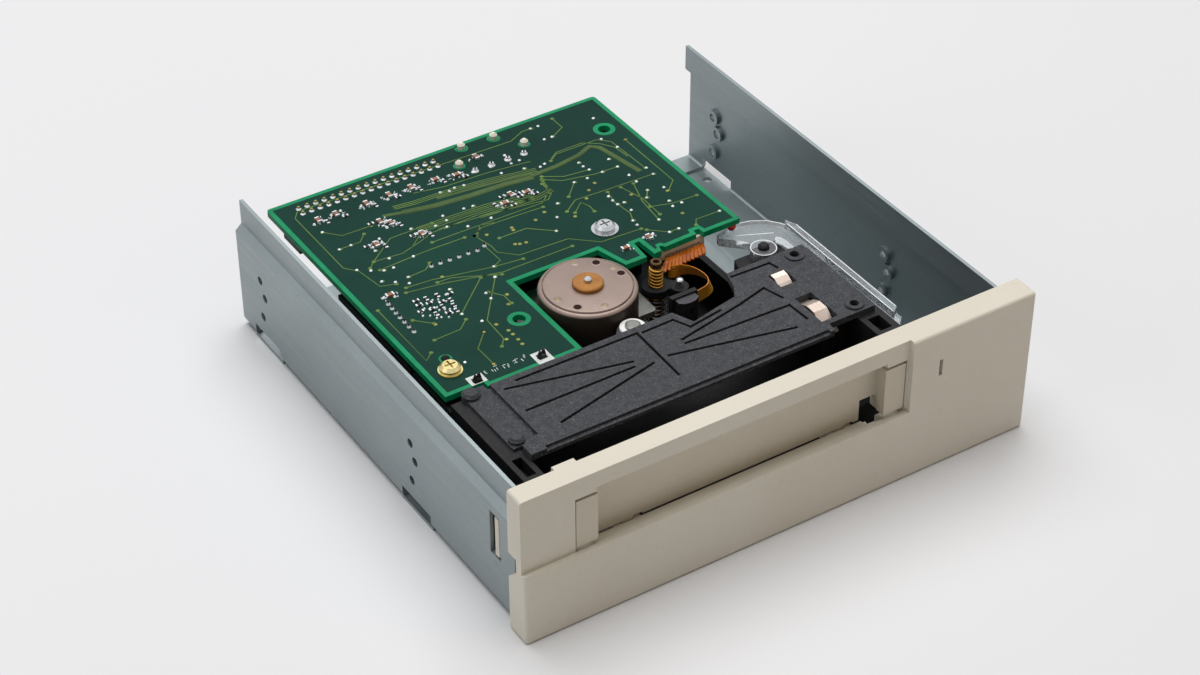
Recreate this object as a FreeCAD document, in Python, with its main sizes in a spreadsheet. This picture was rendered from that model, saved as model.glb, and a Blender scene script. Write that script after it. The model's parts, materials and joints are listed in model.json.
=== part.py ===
import FreeCAD, Part
import math
import os
import re

import Sketcher

# A cartridge tape drive for a half-height bay: a bent steel tray with a moulded front,
# and a mechanism that lies in the tray with its circuit board on top.
# Every sketch is drawn in the drive's own measuring frame: X across, depth back from the
# face of the front moulding, height up from the bench. Each body is then placed so that
# the origin of the part is under the middle of the drive.
# Driving sizes, in millimetres.

# whole drive
overall_depth = 148.0
running_gap = 0.3

# tray
tray_width = 146.0
sheet_gauge = 1.0
wall_top = 39.5
shoulder_height = 30.5
wall_jog = 1.86
pad_drop = 0.8
pad_reach = 9.5
pad_length = 14.0
pad_lead = 8.6
relief_top = 4.5
bend_radius = 1.7

# tray holes
hole_front = 56.1
hole_pitch = 79.25
hole_high = 21.84
hole_low = 10.0
hole_middle = 17.2
hole_middle_lead = 2.0
bottom_pitch = 139.7
tapped_radius = 1.25
collar_radius = 2.3
collar_height = 1.0

# front moulding
bezel_width = 149.5
bezel_height = 42.8
bezel_depth = 7.3
bezel_wall = 2.2
face_plate = 2.4
face_step = 1.6
block_edge = 36.5
ledge_height = 21.3
ledge_fall = 1.4
corner_round = 0.9
rib_count = 5.0
rib_pitch = 27.0
rib_gauge = 1.2

# front moulding slit and hooks
slit_centre = 45.5
slit_width = 1.1
slit_low = 29.05
slit_high = 34.05
hook_reach = 17.5
hook_low = 15.8
hook_high = 27.4
hook_gauge = 1.5
hook_start = 14.0
hook_end = 16.2

# door
mech_centre = -12.0
panel_half = 41.6
tab_width = 6.0
door_plane = 5.6
panel_gauge = 1.8
door_low = 20.1
panel_top = 38.4
tab_low = 22.2
tab_top = 36.0
tab_swing_gap = 0.9
hinge_depth = 7.0
hinge_height = 18.3
hinge_offset = 31.0
lug_radius = 1.5
lug_width = 3.0
ear_width = 2.0
ear_radius = 1.4
pin_radius = 0.8
pin_play = 0.05

# mechanism base
base_left = -66.0
base_right = 43.5
base_front = 12.5
base_rear = 104.0
base_low = 4.0
base_wall = 2.0
base_top = 17.5
arm_left = 23.0
arm_right = 35.0
arm_rear = 131.0
shelf_front = 28.0
shelf_rear = 53.4
shelf_gauge = 2.0
shelf_play = 0.1
shelf_ribs = 6.0
cartridge_low = 19.9
cartridge_height = 14.6
cartridge_half = 40.8

# bridge
bridge_low = 36.4
bridge_gauge = 1.8
bridge_front = 19.5
bridge_back = 47.3
bridge_left = -55.2
bridge_window_left = 27.0
groove_width = 0.8
groove_depth = 0.6

# board
board_low = 35.95
board_gauge = 1.6
board_left = -66.2
board_right = 35.6
board_rear = 142.6
board_front = 72.2
board_nose = 47.75
notch_side = -28.4
notch_back = 80.5

# motor
motor_x = -15.0
motor_depth = 66.4
bell_radius = 12.8
bell_low = 30.2
bell_top = 40.0
bell_wall = 1.2
shaft_radius = 1.0
shaft_low = 12.0
shaft_top = 42.2
hub_radius = 4.0
hub_rise = 1.2
magnet_gauge = 1.3
plate_low = 27.5
plate_gauge = 1.5
roller_radius = 12.2
roller_low = 20.6
roller_height = 6.0
stator_radius = 9.8
pole_count = 9.0

# head drive
screw_x = 6.5
screw_depth = 67.8
screw_radius = 2.0
screw_core = 1.0
screw_low = 8.2
thread_low = 19.2
thread_top = 36.2
screw_top = 38.0
stepper_radius = 4.8
stepper_low = 6.0
stepper_top = 16.5
nut_radius = 3.7
nut_low = 28.4
nut_height = 2.2
rod_x = 11.0
rod_depth = 63.6
rod_radius = 1.0
rod_low = 12.0
rod_top = 33.4
sleeve_radius = 2.4
sleeve_low = 22.0
sleeve_height = 9.0
head_centre = 8.0
head_width = 6.0
head_front = 53.9
head_depth = 3.0
head_low = 22.6
head_height = 10.4
spring_wire = 0.45
spring_pitch = 1.5

# feet and bosses
foot_radius = 4.2
foot_screw_radius = 1.5
foot_left = -57.0
foot_right = 34.0
foot_front = 24.0
foot_rear = 96.0
boss_radius = 3.0
board_screw_radius = 1.2
board_hole_radius = 1.7

# posts and screws
post_radius = 2.0
motor_screw_radius = 1.0
screw_rear_x = 3.4
screw_rear_depth = 87.0
spare_rear_x = 29.0
spare_rear_depth = 127.0
screw_front_x = -60.1
screw_front_depth = 57.7
spare_front_x = -35.2
spare_front_depth = 66.5
peg_x = -58.6
peg_depth = 62.6

# guides
guide_left_out = -66.0
guide_right_out = 43.5
guide_front = 13.0
guide_low_top = 34.0
guide_rear = 66.0
lead_left = -60.6
lead_right = 36.4
slot_low = 22.8
slot_high = 31.0
slot_front = 31.4
slot_rear = 52.0
slot_reach = 8.7
pivot_depth = 48.5
pivot_offset = 45.5
latch_pin_radius = 1.0
latch_play = 0.05
latch_low = 23.2
latch_gauge = 4.6
pipe_low = 30.2
pipe_gauge = 2.5
pipe_left = 44.2
pipe_right = 46.6
ring_x = 37.3
ring_depth = 63.6
ring_peg = 1.5
ring_out = 3.6
peg_radius = 1.0

# tongue
washer_low = 35.4
washer_x = -12.2
washer_depth = 50.1
washer_shank = 1.1

# connectors
pin_width = 0.64
pin_pitch = 2.54
pins_across = 17.0
pins_first = -58.8
pins_inner = 135.9
pins_outer = 138.44
pins_end = 146.0
header_front = 133.4
header_rear = 142.4
header_low_edge = 27.2
nylon_peg = 1.1
power_pitch = 5.08
power_first = -10.9
power_tail = 128.6
power_low = 25.0
power_left = -14.8
power_right = 8.6
power_front = 130.4
power_rear = 143.2

# under the board
socket_low = 32.6
flex_low = 29.4
flex_width = 3.0
flex_gauge = 0.24
plunger_radius = 0.75
switch_front = 55.6

SIZES = {name: value for name, value in globals().items() if isinstance(value, float)}

# Sizes that follow from the driving ones.
FITS = {
    "half_width": "tray_width / 2",
    "floor_top": "pad_drop + sheet_gauge",
    "floor_low": "pad_drop",
    "shoulder_top": "shoulder_height + wall_jog * 0.97",
    "flange_out": "tray_width / 2 - wall_jog",
    "bend_shift": "sheet_gauge * 0.414",
    "hole_rear": "hole_front + hole_pitch",
    "bezel_half": "bezel_width / 2",
    "ledge_back": "ledge_height - ledge_fall",
    "recess_plate": "face_step + face_plate",
    "window_half": "panel_half + tab_width + running_gap",
    "tab_out": "panel_half + tab_width",
    "bezel_inner": "bezel_width / 2 - bezel_wall",
    "header_low": "tab_top + tab_swing_gap",
    "panel_back": "door_plane + panel_gauge",
    "bridge_top": "bridge_low + bridge_gauge",
    "board_top": "board_low + board_gauge",
    "cartridge_top": "cartridge_low + cartridge_height",
    "guide_left_in": "mech_centre - cartridge_half",
    "guide_right_in": "mech_centre + cartridge_half",
    "magnet_out": "bell_radius - bell_wall",
    "magnet_in": "bell_radius - bell_wall - magnet_gauge",
    "plate_top": "plate_low + plate_gauge",
    "pivot_left": "mech_centre - pivot_offset",
    "pivot_right": "mech_centre + pivot_offset",
    "pipe_top": "pipe_low + pipe_gauge",
}

doc = FreeCAD.newDocument("tape_drive")
sheet = doc.addObject("Spreadsheet::Sheet", "Sizes")
fits = doc.addObject("App::VarSet", "Fits")
probe = doc.addObject("App::VarSet", "Probe")
probe.addProperty("App::PropertyFloat", "reading", "Probe")
PIECES = []
WORD = re.compile(r"[A-Za-z_]\w*")


def owned(match):
    """Give a bare name in a formula its owner, the sheet or the set of derived sizes."""
    word = match.group()
    if word in SIZES:
        return "Sizes." + word
    if word in FITS:
        return "Fits." + word
    return word


def bound(formula):
    """Turn a formula in plain names into a FreeCAD expression."""
    return WORD.sub(owned, str(formula))


def number(formula):
    """Read the present value of a formula."""
    probe.setExpression("reading", bound(formula))
    probe.recompute()
    return probe.reading


# Driving sizes, in millimetres and degrees.

# Sizes that follow from them.


for row, (name, value) in enumerate(SIZES.items(), 1):
    sheet.set(f"A{row}", name)
    sheet.set(f"B{row}", str(value))
    sheet.setAlias(f"B{row}", name)
doc.recompute()
for name, formula in FITS.items():
    fits.addProperty("App::PropertyFloat", name, "Fits")
    fits.setExpression(name, bound(formula))
    doc.recompute()

ROLES = {"X": "YZ_Plane", "Y": "XZ_Plane", "Z": "XY_Plane"}
HIGH = 60.0


def body_named(label, x="0", depth="0", height="0", loose=False):
    """Start a body; x, depth and height place one that is drawn about its own axis."""
    body = doc.addObject("PartDesign::Body", label)
    body.Label = label
    body.AllowCompound = loose
    body.setExpression("Placement.Base.x", bound(x))
    body.setExpression("Placement.Base.y", bound(f"{depth} - overall_depth / 2"))
    body.setExpression("Placement.Base.z", bound(height))
    PIECES.append(body)
    return body


def sketch_at(body, axis, level):
    """Attach a sketch square to an axis of the body, at a level along it."""
    sketch = body.newObject("Sketcher::SketchObject", body.Label + "_sketch")
    plane = [f for f in body.Origin.OriginFeatures if f.Role == ROLES[axis]][0]
    sketch.AttachmentSupport = (plane, [""])
    sketch.MapMode = "FlatFace"
    side = f"-({level})" if axis == "Y" else str(level)
    sketch.setExpression("AttachmentOffset.Base.z", bound(side))
    return sketch


def pin_down(sketch, geometry, vertex, across, up):
    """Hold one point of a sketch at two formulas from the sketch's origin."""
    for kind, formula in (("DistanceX", across), ("DistanceY", up)):
        rule = Sketcher.Constraint(kind, -1, 1, geometry, vertex, number(formula))
        index = sketch.addConstraint(rule)
        sketch.setExpression(f"Constraints[{index}]", bound(formula))


def polygon(*corners):
    """Describe a closed outline of straight sides by its corners."""
    return ("polygon", corners)


def rectangle(left, right, low, high):
    """Describe a rectangle by its sides."""
    return ("polygon", ((left, low), (right, low), (right, high), (left, high)))


def circle(across, up, radius):
    """Describe a circle by its centre and radius."""
    return ("circle", (across, up, radius))


def draw(sketch, outlines):
    """Put outlines into a sketch and bind every corner, centre and radius."""
    for kind, data in outlines:
        if kind == "circle":
            across, up, radius = data
            centre = FreeCAD.Vector(number(across), number(up), 0)
            index = sketch.addGeometry(Part.Circle(centre, FreeCAD.Vector(0, 0, 1), number(radius)))
            pin_down(sketch, index, 3, across, up)
            rule = sketch.addConstraint(Sketcher.Constraint("Radius", index, number(radius)))
            sketch.setExpression(f"Constraints[{rule}]", bound(radius))
            continue
        points = [FreeCAD.Vector(number(u), number(v), 0) for u, v in data]
        count = len(points)
        first = sketch.GeometryCount
        for i in range(count):
            sketch.addGeometry(Part.LineSegment(points[i], points[(i + 1) % count]))
        for i in range(count):
            following = first + (i + 1) % count
            sketch.addConstraint(Sketcher.Constraint("Coincident", first + i, 2, following, 1))
            pin_down(sketch, first + i, 1, *data[i])


def settle(body, feature, grows):
    """Recompute, and stop if a feature failed or did not change the solid as it should."""
    before = feature.BaseFeature.Shape.Volume if feature.BaseFeature else 0.0
    doc.recompute()
    after = feature.Shape.Volume
    if "Invalid" in feature.State or "Error" in feature.State or not feature.Shape.isValid():
        raise RuntimeError(f"{body.Label}: {feature.Name} failed")
    if (after - before) * (1 if grows else -1) <= 0:
        raise RuntimeError(f"{body.Label}: {feature.Name} changed nothing")
    return feature


def pad(body, axis, low, high, *outlines):
    """Add the outlines, extruded along an axis from one level to another."""
    sketch = sketch_at(body, axis, high if axis == "Y" else low)
    draw(sketch, outlines)
    feature = body.newObject("PartDesign::Pad", body.Label + "_pad")
    feature.Profile = sketch
    feature.setExpression("Length", bound(f"({high}) - ({low})"))
    return settle(body, feature, True)


def cut(body, axis, low, high, *outlines):
    """Remove the outlines, extruded along an axis from one level to another."""
    sketch = sketch_at(body, axis, high if axis == "Y" else low)
    draw(sketch, outlines)
    feature = body.newObject("PartDesign::Pocket", body.Label + "_pocket")
    feature.Profile = sketch
    feature.Reversed = True
    feature.setExpression("Length", bound(f"({high}) - ({low})"))
    return settle(body, feature, False)


def turn(body, *corners, add=True):
    """Revolve an outline of (radius, height) corners about the body's own upright axis."""
    sketch = sketch_at(body, "Y", "0")
    draw(sketch, [polygon(*corners)])
    kind = "PartDesign::Revolution" if add else "PartDesign::Groove"
    feature = body.newObject(kind, body.Label + "_turned")
    feature.Profile = sketch
    feature.ReferenceAxis = (sketch, ["V_Axis"])
    feature.Angle = 360
    return settle(body, feature, add)


def soften(body, radius, chosen, kind="PartDesign::Fillet"):
    """Round or bevel the edges of the last feature for which chosen(edge) holds."""
    tip = body.Tip
    names = [f"Edge{i + 1}" for i, edge in enumerate(tip.Shape.Edges) if chosen(edge)]
    if not names:
        raise RuntimeError(f"{body.Label}: no edge to round")
    feature = body.newObject(kind, body.Label + "_edge")
    feature.Base = (tip, names)
    name = "Radius" if kind.endswith("Fillet") else "Size"
    feature.setExpression(name, bound(radius))
    doc.recompute()
    if "Invalid" in feature.State or not feature.Shape.isValid():
        raise RuntimeError(f"{body.Label}: rounding failed")
    return feature


def runs_along(edge, axis):
    """Say whether an edge is a straight line along an axis."""
    if not isinstance(edge.Curve, Part.Line):
        return False
    direction = edge.Curve.Direction
    return abs(getattr(direction, axis)) > 0.999


def repeat(body, feature, axis, count, pitch):
    """Repeat a feature in a row along X, Y or Z of the body."""
    row = body.newObject("PartDesign::LinearPattern", body.Label + "_row")
    row.Originals = [feature]
    line = [f for f in body.Origin.OriginFeatures if f.Role == axis + "_Axis"][0]
    row.Direction = (line, [""])
    row.setExpression("Length", bound(f"({pitch}) * (({count}) - 1)"))
    row.setExpression("Occurrences", bound(count))
    body.Tip = row
    doc.recompute()
    return row


def mirrored_pairs(*corners):
    """Close an outline with its own mirror image across the drive's middle plane."""
    return polygon(*corners, *[(f"-({u})", v) for u, v in reversed(corners)])


def make_tray():
    """The bent steel tray: floor, two jogged walls, pressed pads, and tapped holes with collars."""
    tray = body_named("drive_tray")
    wall = [("half_width", "floor_low"), ("half_width", "shoulder_height"), ("flange_out", "shoulder_top"),
            ("flange_out", "wall_top"), ("flange_out - sheet_gauge", "wall_top"),
            ("flange_out - sheet_gauge", "shoulder_top - bend_shift"),
            ("half_width - sheet_gauge", "shoulder_height - bend_shift"),
            ("half_width - sheet_gauge", "floor_top")]
    pad(tray, "Y", "bezel_depth", "overall_depth", mirrored_pairs(*wall))
    low = number("floor_low")
    soften(tray, "bend_radius", lambda e: runs_along(e, "y") and abs(e.BoundBox.ZMin - low) < 0.01)
    top = number("floor_top")
    side = number("half_width - sheet_gauge")
    soften(tray, "bend_radius - sheet_gauge", lambda e: runs_along(e, "y")
           and abs(e.BoundBox.ZMin - top) < 0.01 and abs(abs(e.BoundBox.XMin) - side) < 0.01)
    for row in ("hole_front", "hole_rear"):
        start = f"{row} - pad_lead"
        end = f"{row} - pad_lead + pad_length"
        inner = "half_width - pad_reach"
        cut(tray, "Z", "-1", "relief_top", rectangle(inner, "half_width + 1", start, end),
            rectangle("-half_width - 1", f"-({inner})", start, end))
        lap = "sheet_gauge * 0.6"
        pad(tray, "Z", "0", "sheet_gauge",
            rectangle(f"{inner} - {lap}", "half_width - 0.3", f"{start} - {lap}", f"{end} + {lap}"),
            rectangle("-half_width + 0.3", f"-({inner}) + {lap}", f"{start} - {lap}", f"{end} + {lap}"))
        cut(tray, "Z", "-1", "sheet_gauge + 1", circle("bottom_pitch / 2", row, "tapped_radius"),
            circle("-bottom_pitch / 2", row, "tapped_radius"))
    spots = []
    for row in ("hole_front", "hole_rear"):
        spots += [(row, "hole_low"), (row, "hole_high"), (f"{row} - hole_middle_lead", "hole_middle")]
    collars = [circle(depth, height, "collar_radius") for depth, height in spots]
    inside = "half_width - sheet_gauge"
    pad(tray, "X", f"{inside} - collar_height", inside, *collars)
    pad(tray, "X", f"-({inside})", f"-({inside}) + collar_height", *collars)
    bores = [circle(depth, height, "tapped_radius") for depth, height in spots]
    cut(tray, "X", "-half_width - 1", "half_width + 1", *bores)
    slot = rectangle("hook_start - 0.3", "hook_start + 4.4", "hook_low - 0.6", "hook_high + 0.6")
    cut(tray, "X", "-half_width - 1", "half_width + 1", slot)
    feet = [circle(x, depth, "foot_screw_radius + 0.3") for x, depth in FEET]
    cut(tray, "Z", "0", "floor_top + 1", *feet)


FEET = (("foot_left", "foot_front"), ("foot_right - 4", "foot_front"),
        ("foot_left", "foot_rear"), ("foot_right - 5", "foot_rear + 24"))


def make_bezel():
    """The front moulding: a hollow plate with a stepped face, a ledge, a window and side hooks."""
    bezel = body_named("front_bezel")
    pad(bezel, "Y", "0", "bezel_depth", rectangle("-bezel_half", "bezel_half", "0", "bezel_height"))
    soften(bezel, "corner_round", lambda e: runs_along(e, "y") or e.BoundBox.YMax < 0.01)
    wall = "bezel_wall"
    under = f"ledge_back - {wall}"
    cut(bezel, "Y", "face_plate", "bezel_depth + 1",
        rectangle("-bezel_inner", "bezel_inner", wall, under))
    cut(bezel, "Y", "recess_plate", "bezel_depth + 1",
        rectangle("-bezel_inner", "bezel_inner", f"ledge_height + {wall}", f"bezel_height - {wall}"))
    recess = polygon(("-1", "ledge_height"), ("0", "ledge_height"),
                     ("face_step", "ledge_height - ledge_fall * face_step / door_plane"),
                     ("face_step", "bezel_height + 1"), ("-1", "bezel_height + 1"))
    cut(bezel, "X", "-bezel_half - 1", "block_edge", recess)
    left = "mech_centre - window_half"
    right = "mech_centre + window_half"
    opening = polygon(("-1", "ledge_height"), ("0", "ledge_height"), ("door_plane - 0.5", "ledge_back + 0.12"),
                      ("door_plane - 0.5", f"{under} - 0.1"), ("bezel_depth + 1", f"{under} - 0.1"),
                      ("bezel_depth + 1", "header_low"), ("-1", "header_low"))
    cut(bezel, "X", left, right, opening)
    cut(bezel, "Y", "-1", "bezel_depth + 1",
        rectangle("mech_centre - panel_half - running_gap", "mech_centre + panel_half + running_gap",
                  "tab_top - 1", "panel_top - running_gap"))
    cut(bezel, "Y", "-1", "bezel_depth + 1",
        rectangle("slit_centre - slit_width / 2", "slit_centre + slit_width / 2", "slit_low", "slit_high"))
    notch = polygon(("bezel_depth - 3.4", "19.5"), ("bezel_depth - 3.4", "24.1"),
                    ("bezel_depth + 1", "24.1"), ("bezel_depth + 1", "15.8"))
    cut(bezel, "X", "bezel_inner - 0.2", "bezel_half + 1", notch)
    cut(bezel, "X", "-bezel_half - 1", "-bezel_inner + 0.2", notch)
    rib = pad(bezel, "Y", "face_plate - 0.3", "bezel_depth - 1.2",
              rectangle("-rib_pitch * 2 - rib_gauge / 2", "-rib_pitch * 2 + rib_gauge / 2", f"{wall} - 0.5",
                        f"{under} + 0.5"))
    repeat(bezel, rib, "X", "rib_count", "rib_pitch")
    pad(bezel, "Z", f"bezel_height - {wall}", "bezel_height",
        rectangle("-bezel_half + 12.8", "-bezel_half + 18.8", "bezel_depth - 1", "bezel_depth + 1.3"))
    skin = "half_width - sheet_gauge - running_gap"
    for sign in ("", "-"):
        near = f"{sign}({skin} - hook_gauge)"
        far = f"{sign}({skin})"
        arm = polygon((near, "face_plate - 0.3"), (far, "face_plate - 0.3"), (far, "hook_start"),
                      (f"{sign}(half_width - 0.1)", "hook_start + 0.6"),
                      (f"{sign}(half_width - 0.1)", "hook_end"), (far, "hook_end + 0.4"),
                      (far, "hook_reach"), (near, "hook_reach"))
        pad(bezel, "Z", "hook_low", "hook_high", arm)
    ears = []
    ear_sides = []
    for side in ("-hinge_offset", "hinge_offset"):
        for hand in ("-", "+"):
            middle = f"mech_centre {'+' if side[0] != '-' else ''}{side} {hand} (lug_width / 2 + running_gap + ear_width / 2)"
            ear_sides.append(middle)
    ear = polygon(("face_plate - 0.2", f"{under} - 0.4"), ("hinge_depth", "hinge_height - ear_radius"),
                  ("hinge_depth + ear_radius * 0.7", "hinge_height - ear_radius * 0.7"),
                  ("hinge_depth + ear_radius", "hinge_height"),
                  ("hinge_depth + ear_radius * 0.7", "hinge_height + ear_radius * 0.7"),
                  ("hinge_depth", "hinge_height + ear_radius"), ("face_plate - 0.2", "hinge_height + ear_radius"))
    for middle in ear_sides:
        pad(bezel, "X", f"{middle} - ear_width / 2", f"{middle} + ear_width / 2", ear)
    cut(bezel, "X", "-bezel_half + 8", "bezel_half - 8", circle("hinge_depth", "hinge_height", "pin_radius + pin_play"))
    catch = polygon(("mech_centre + panel_half - 4.3", "2.2"), ("mech_centre + panel_half + 0.1", "2.2"),
                    ("mech_centre + panel_half + 0.1", "door_plane"), ("mech_centre + panel_half - 4.3", "door_plane"))
    cut(bezel, "Z", f"{under} + 0.4", "ledge_height + 0.1", catch)


def make_door():
    """The cartridge door, its hinge pins and its closing spring."""
    door = body_named("cartridge_door")
    pad(door, "Z", "door_low", "panel_top",
        rectangle("mech_centre - panel_half", "mech_centre + panel_half", "door_plane", "panel_back"))
    for sign in ("-", "+"):
        inner = f"mech_centre {sign} panel_half"
        outer = f"mech_centre {sign} tab_out"
        skin = "1.2"
        step = "-" if sign == "+" else "+"
        shell = polygon((inner, "panel_back"), (inner, "face_step + 0.1"), (outer, "face_step + 0.1"),
                        (outer, "panel_back"), (f"{outer} {step} {skin}", "panel_back"),
                        (f"{outer} {step} {skin}", "face_step + 0.1 + 1.3"),
                        (f"{inner} {sign} {skin}", "face_step + 0.1 + 1.3"),
                        (f"{inner} {sign} {skin}", "panel_back"))
        pad(door, "Z", "tab_low", "tab_top", shell)
    lug = polygon(("hinge_depth - lug_radius", "hinge_height"),
                  ("hinge_depth - lug_radius * 0.7", "hinge_height - lug_radius * 0.7"),
                  ("hinge_depth", "hinge_height - lug_radius"),
                  ("hinge_depth + lug_radius * 0.7", "hinge_height - lug_radius * 0.7"),
                  ("hinge_depth + lug_radius", "hinge_height"), ("panel_back", "hinge_height + 1.2"),
                  ("panel_back", "door_low + 0.4"), ("door_plane", "door_low + 0.4"),
                  ("door_plane", "hinge_height + 1.2"))
    for side in ("- hinge_offset", "+ hinge_offset"):
        pad(door, "X", f"mech_centre {side} - lug_width / 2", f"mech_centre {side} + lug_width / 2", lug)
    cut(door, "X", "-bezel_half", "bezel_half", circle("hinge_depth", "hinge_height", "pin_radius"))
    for side in ("- hinge_offset", "+ hinge_offset"):
        cut(door, "Y", "door_plane - 1", "panel_back + 1",
            rectangle(f"mech_centre {side} + 1.7", f"mech_centre {side} + 4.3", "door_low - 1", "door_low + 0.5"))
    cut(door, "Y", "door_plane - 1", "panel_back + 1",
        rectangle("mech_centre + panel_half - 4.6", "mech_centre + panel_half + 0.2", "door_low - 1", "door_low + 6.2"))

    pins = body_named("door_hinge_pins", loose=True)
    reach = "lug_width / 2 + running_gap + ear_width"
    pad(pins, "X", f"mech_centre - hinge_offset - ({reach}) - 4.4", f"mech_centre - hinge_offset + {reach}",
        circle("hinge_depth", "hinge_height", "pin_radius"))
    pad(pins, "X", f"mech_centre + hinge_offset - ({reach})", f"mech_centre + hinge_offset + {reach}",
        circle("hinge_depth", "hinge_height", "pin_radius"))
    sleeve("door_spring", f"mech_centre - hinge_offset - ({reach}) - 4.2", "hinge_depth", "hinge_height", "4.0",
           "pin_radius + 0.2", "0.3", flat=True)


def make_base():
    """The moulded base of the mechanism: an open tub with a cartridge shelf, feet and bosses."""
    base = body_named("mechanism_base")
    rim = "base_wall"
    outline = polygon(("base_left", "base_front"), ("base_right", "base_front"), ("base_right", "66"),
                      ("arm_right", "74"), ("arm_right", "arm_rear"), ("arm_left", "arm_rear"),
                      ("arm_left", "base_rear"), ("base_left", "base_rear"))
    pad(base, "Z", "base_low", "base_top", outline)
    inner = polygon((f"base_left + {rim}", f"base_front + {rim}"), (f"base_right - {rim}", f"base_front + {rim}"),
                    (f"base_right - {rim}", f"66 - {rim} * 0.4"), (f"arm_right - {rim}", f"74 - {rim} * 0.4"),
                    (f"arm_right - {rim}", f"arm_rear - {rim}"), (f"arm_left + {rim}", f"arm_rear - {rim}"),
                    (f"arm_left + {rim}", f"base_rear - {rim}"), (f"base_left + {rim}", f"base_rear - {rim}"))
    cut(base, "Z", f"base_low + {rim}", "base_top + 1", inner)
    pad(base, "Z", "floor_top", f"base_low + {rim}", *[circle(x, d, "foot_radius") for x, d in FEET])
    cut(base, "Z", "0", "base_low + 3", *[circle(x, d, "foot_screw_radius") for x, d in FEET])
    deck = "base_low + 1"
    pad(base, "Z", deck, "board_low", circle("screw_rear_x", "screw_rear_depth", "boss_radius"),
        circle("spare_rear_x", "spare_rear_depth", "boss_radius"))
    cut(base, "Z", "board_low - 8", "board_low + 1",
        circle("screw_rear_x", "screw_rear_depth", "board_screw_radius"),
        circle("spare_rear_x", "spare_rear_depth", "board_screw_radius"))
    posts = [circle(x, d, "post_radius") for x, d in MOTOR_POSTS]
    pad(base, "Z", deck, "plate_low", *posts)
    cut(base, "Z", "plate_low - 6", "plate_low + 1", *[circle(x, d, "motor_screw_radius") for x, d in MOTOR_POSTS])
    pad(base, "Z", deck, "shaft_low + 2", circle("motor_x", "motor_depth", "3.4"))
    cut(base, "Z", "shaft_low - 0.05", "shaft_low + 3", circle("motor_x", "motor_depth", "shaft_radius + 1"))
    pad(base, "Z", deck, "rod_low + 6", circle("rod_x + 0.9", "rod_depth - 1.2", "2.6"))
    cut(base, "Z", "rod_low", "rod_low + 7", circle("rod_x", "rod_depth", "rod_radius"))
    pad(base, "Z", "base_top - 1", "guide_low_top", rectangle("base_left", "base_left + base_wall", "67", "base_rear"))
    finger = polygon(("base_front + 0.5", "12"), ("8.6", "16"), ("8.6", "21.2"), ("10.2", "22.6"),
                     ("12.2", "21.6"), ("12.2", "17.6"), ("base_front + 0.5", "17.4"))
    pad(base, "X", "mech_centre + panel_half - 4.3", "mech_centre + panel_half - 0.3", finger)

    shelf = body_named("cartridge_shelf")
    inner = "base_wall + shelf_play"
    pad(shelf, "Z", "base_top - shelf_gauge", "base_top",
        rectangle(f"base_left + {inner}", f"base_right - {inner}", "shelf_front", "shelf_rear"))
    pad(shelf, "Z", "base_top - 0.5", "cartridge_low",
        rectangle("guide_left_in + 0.2", "guide_right_in - 0.2", "shelf_front", "shelf_rear"))
    rib = pad(shelf, "Z", "base_top - shelf_gauge - 2.4", "base_top - 0.5",
              rectangle("mech_centre - 40.6", "mech_centre - 39.2", "shelf_front + 1", "shelf_rear - 1"))
    repeat(shelf, rib, "X", "shelf_ribs", "79.8 / (shelf_ribs - 1)")


MOTOR_POSTS = (("motor_x + 15", "motor_depth + 4"), ("motor_x", "motor_depth + 15.5"),
               ("motor_x - 15", "motor_depth + 4"))


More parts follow.
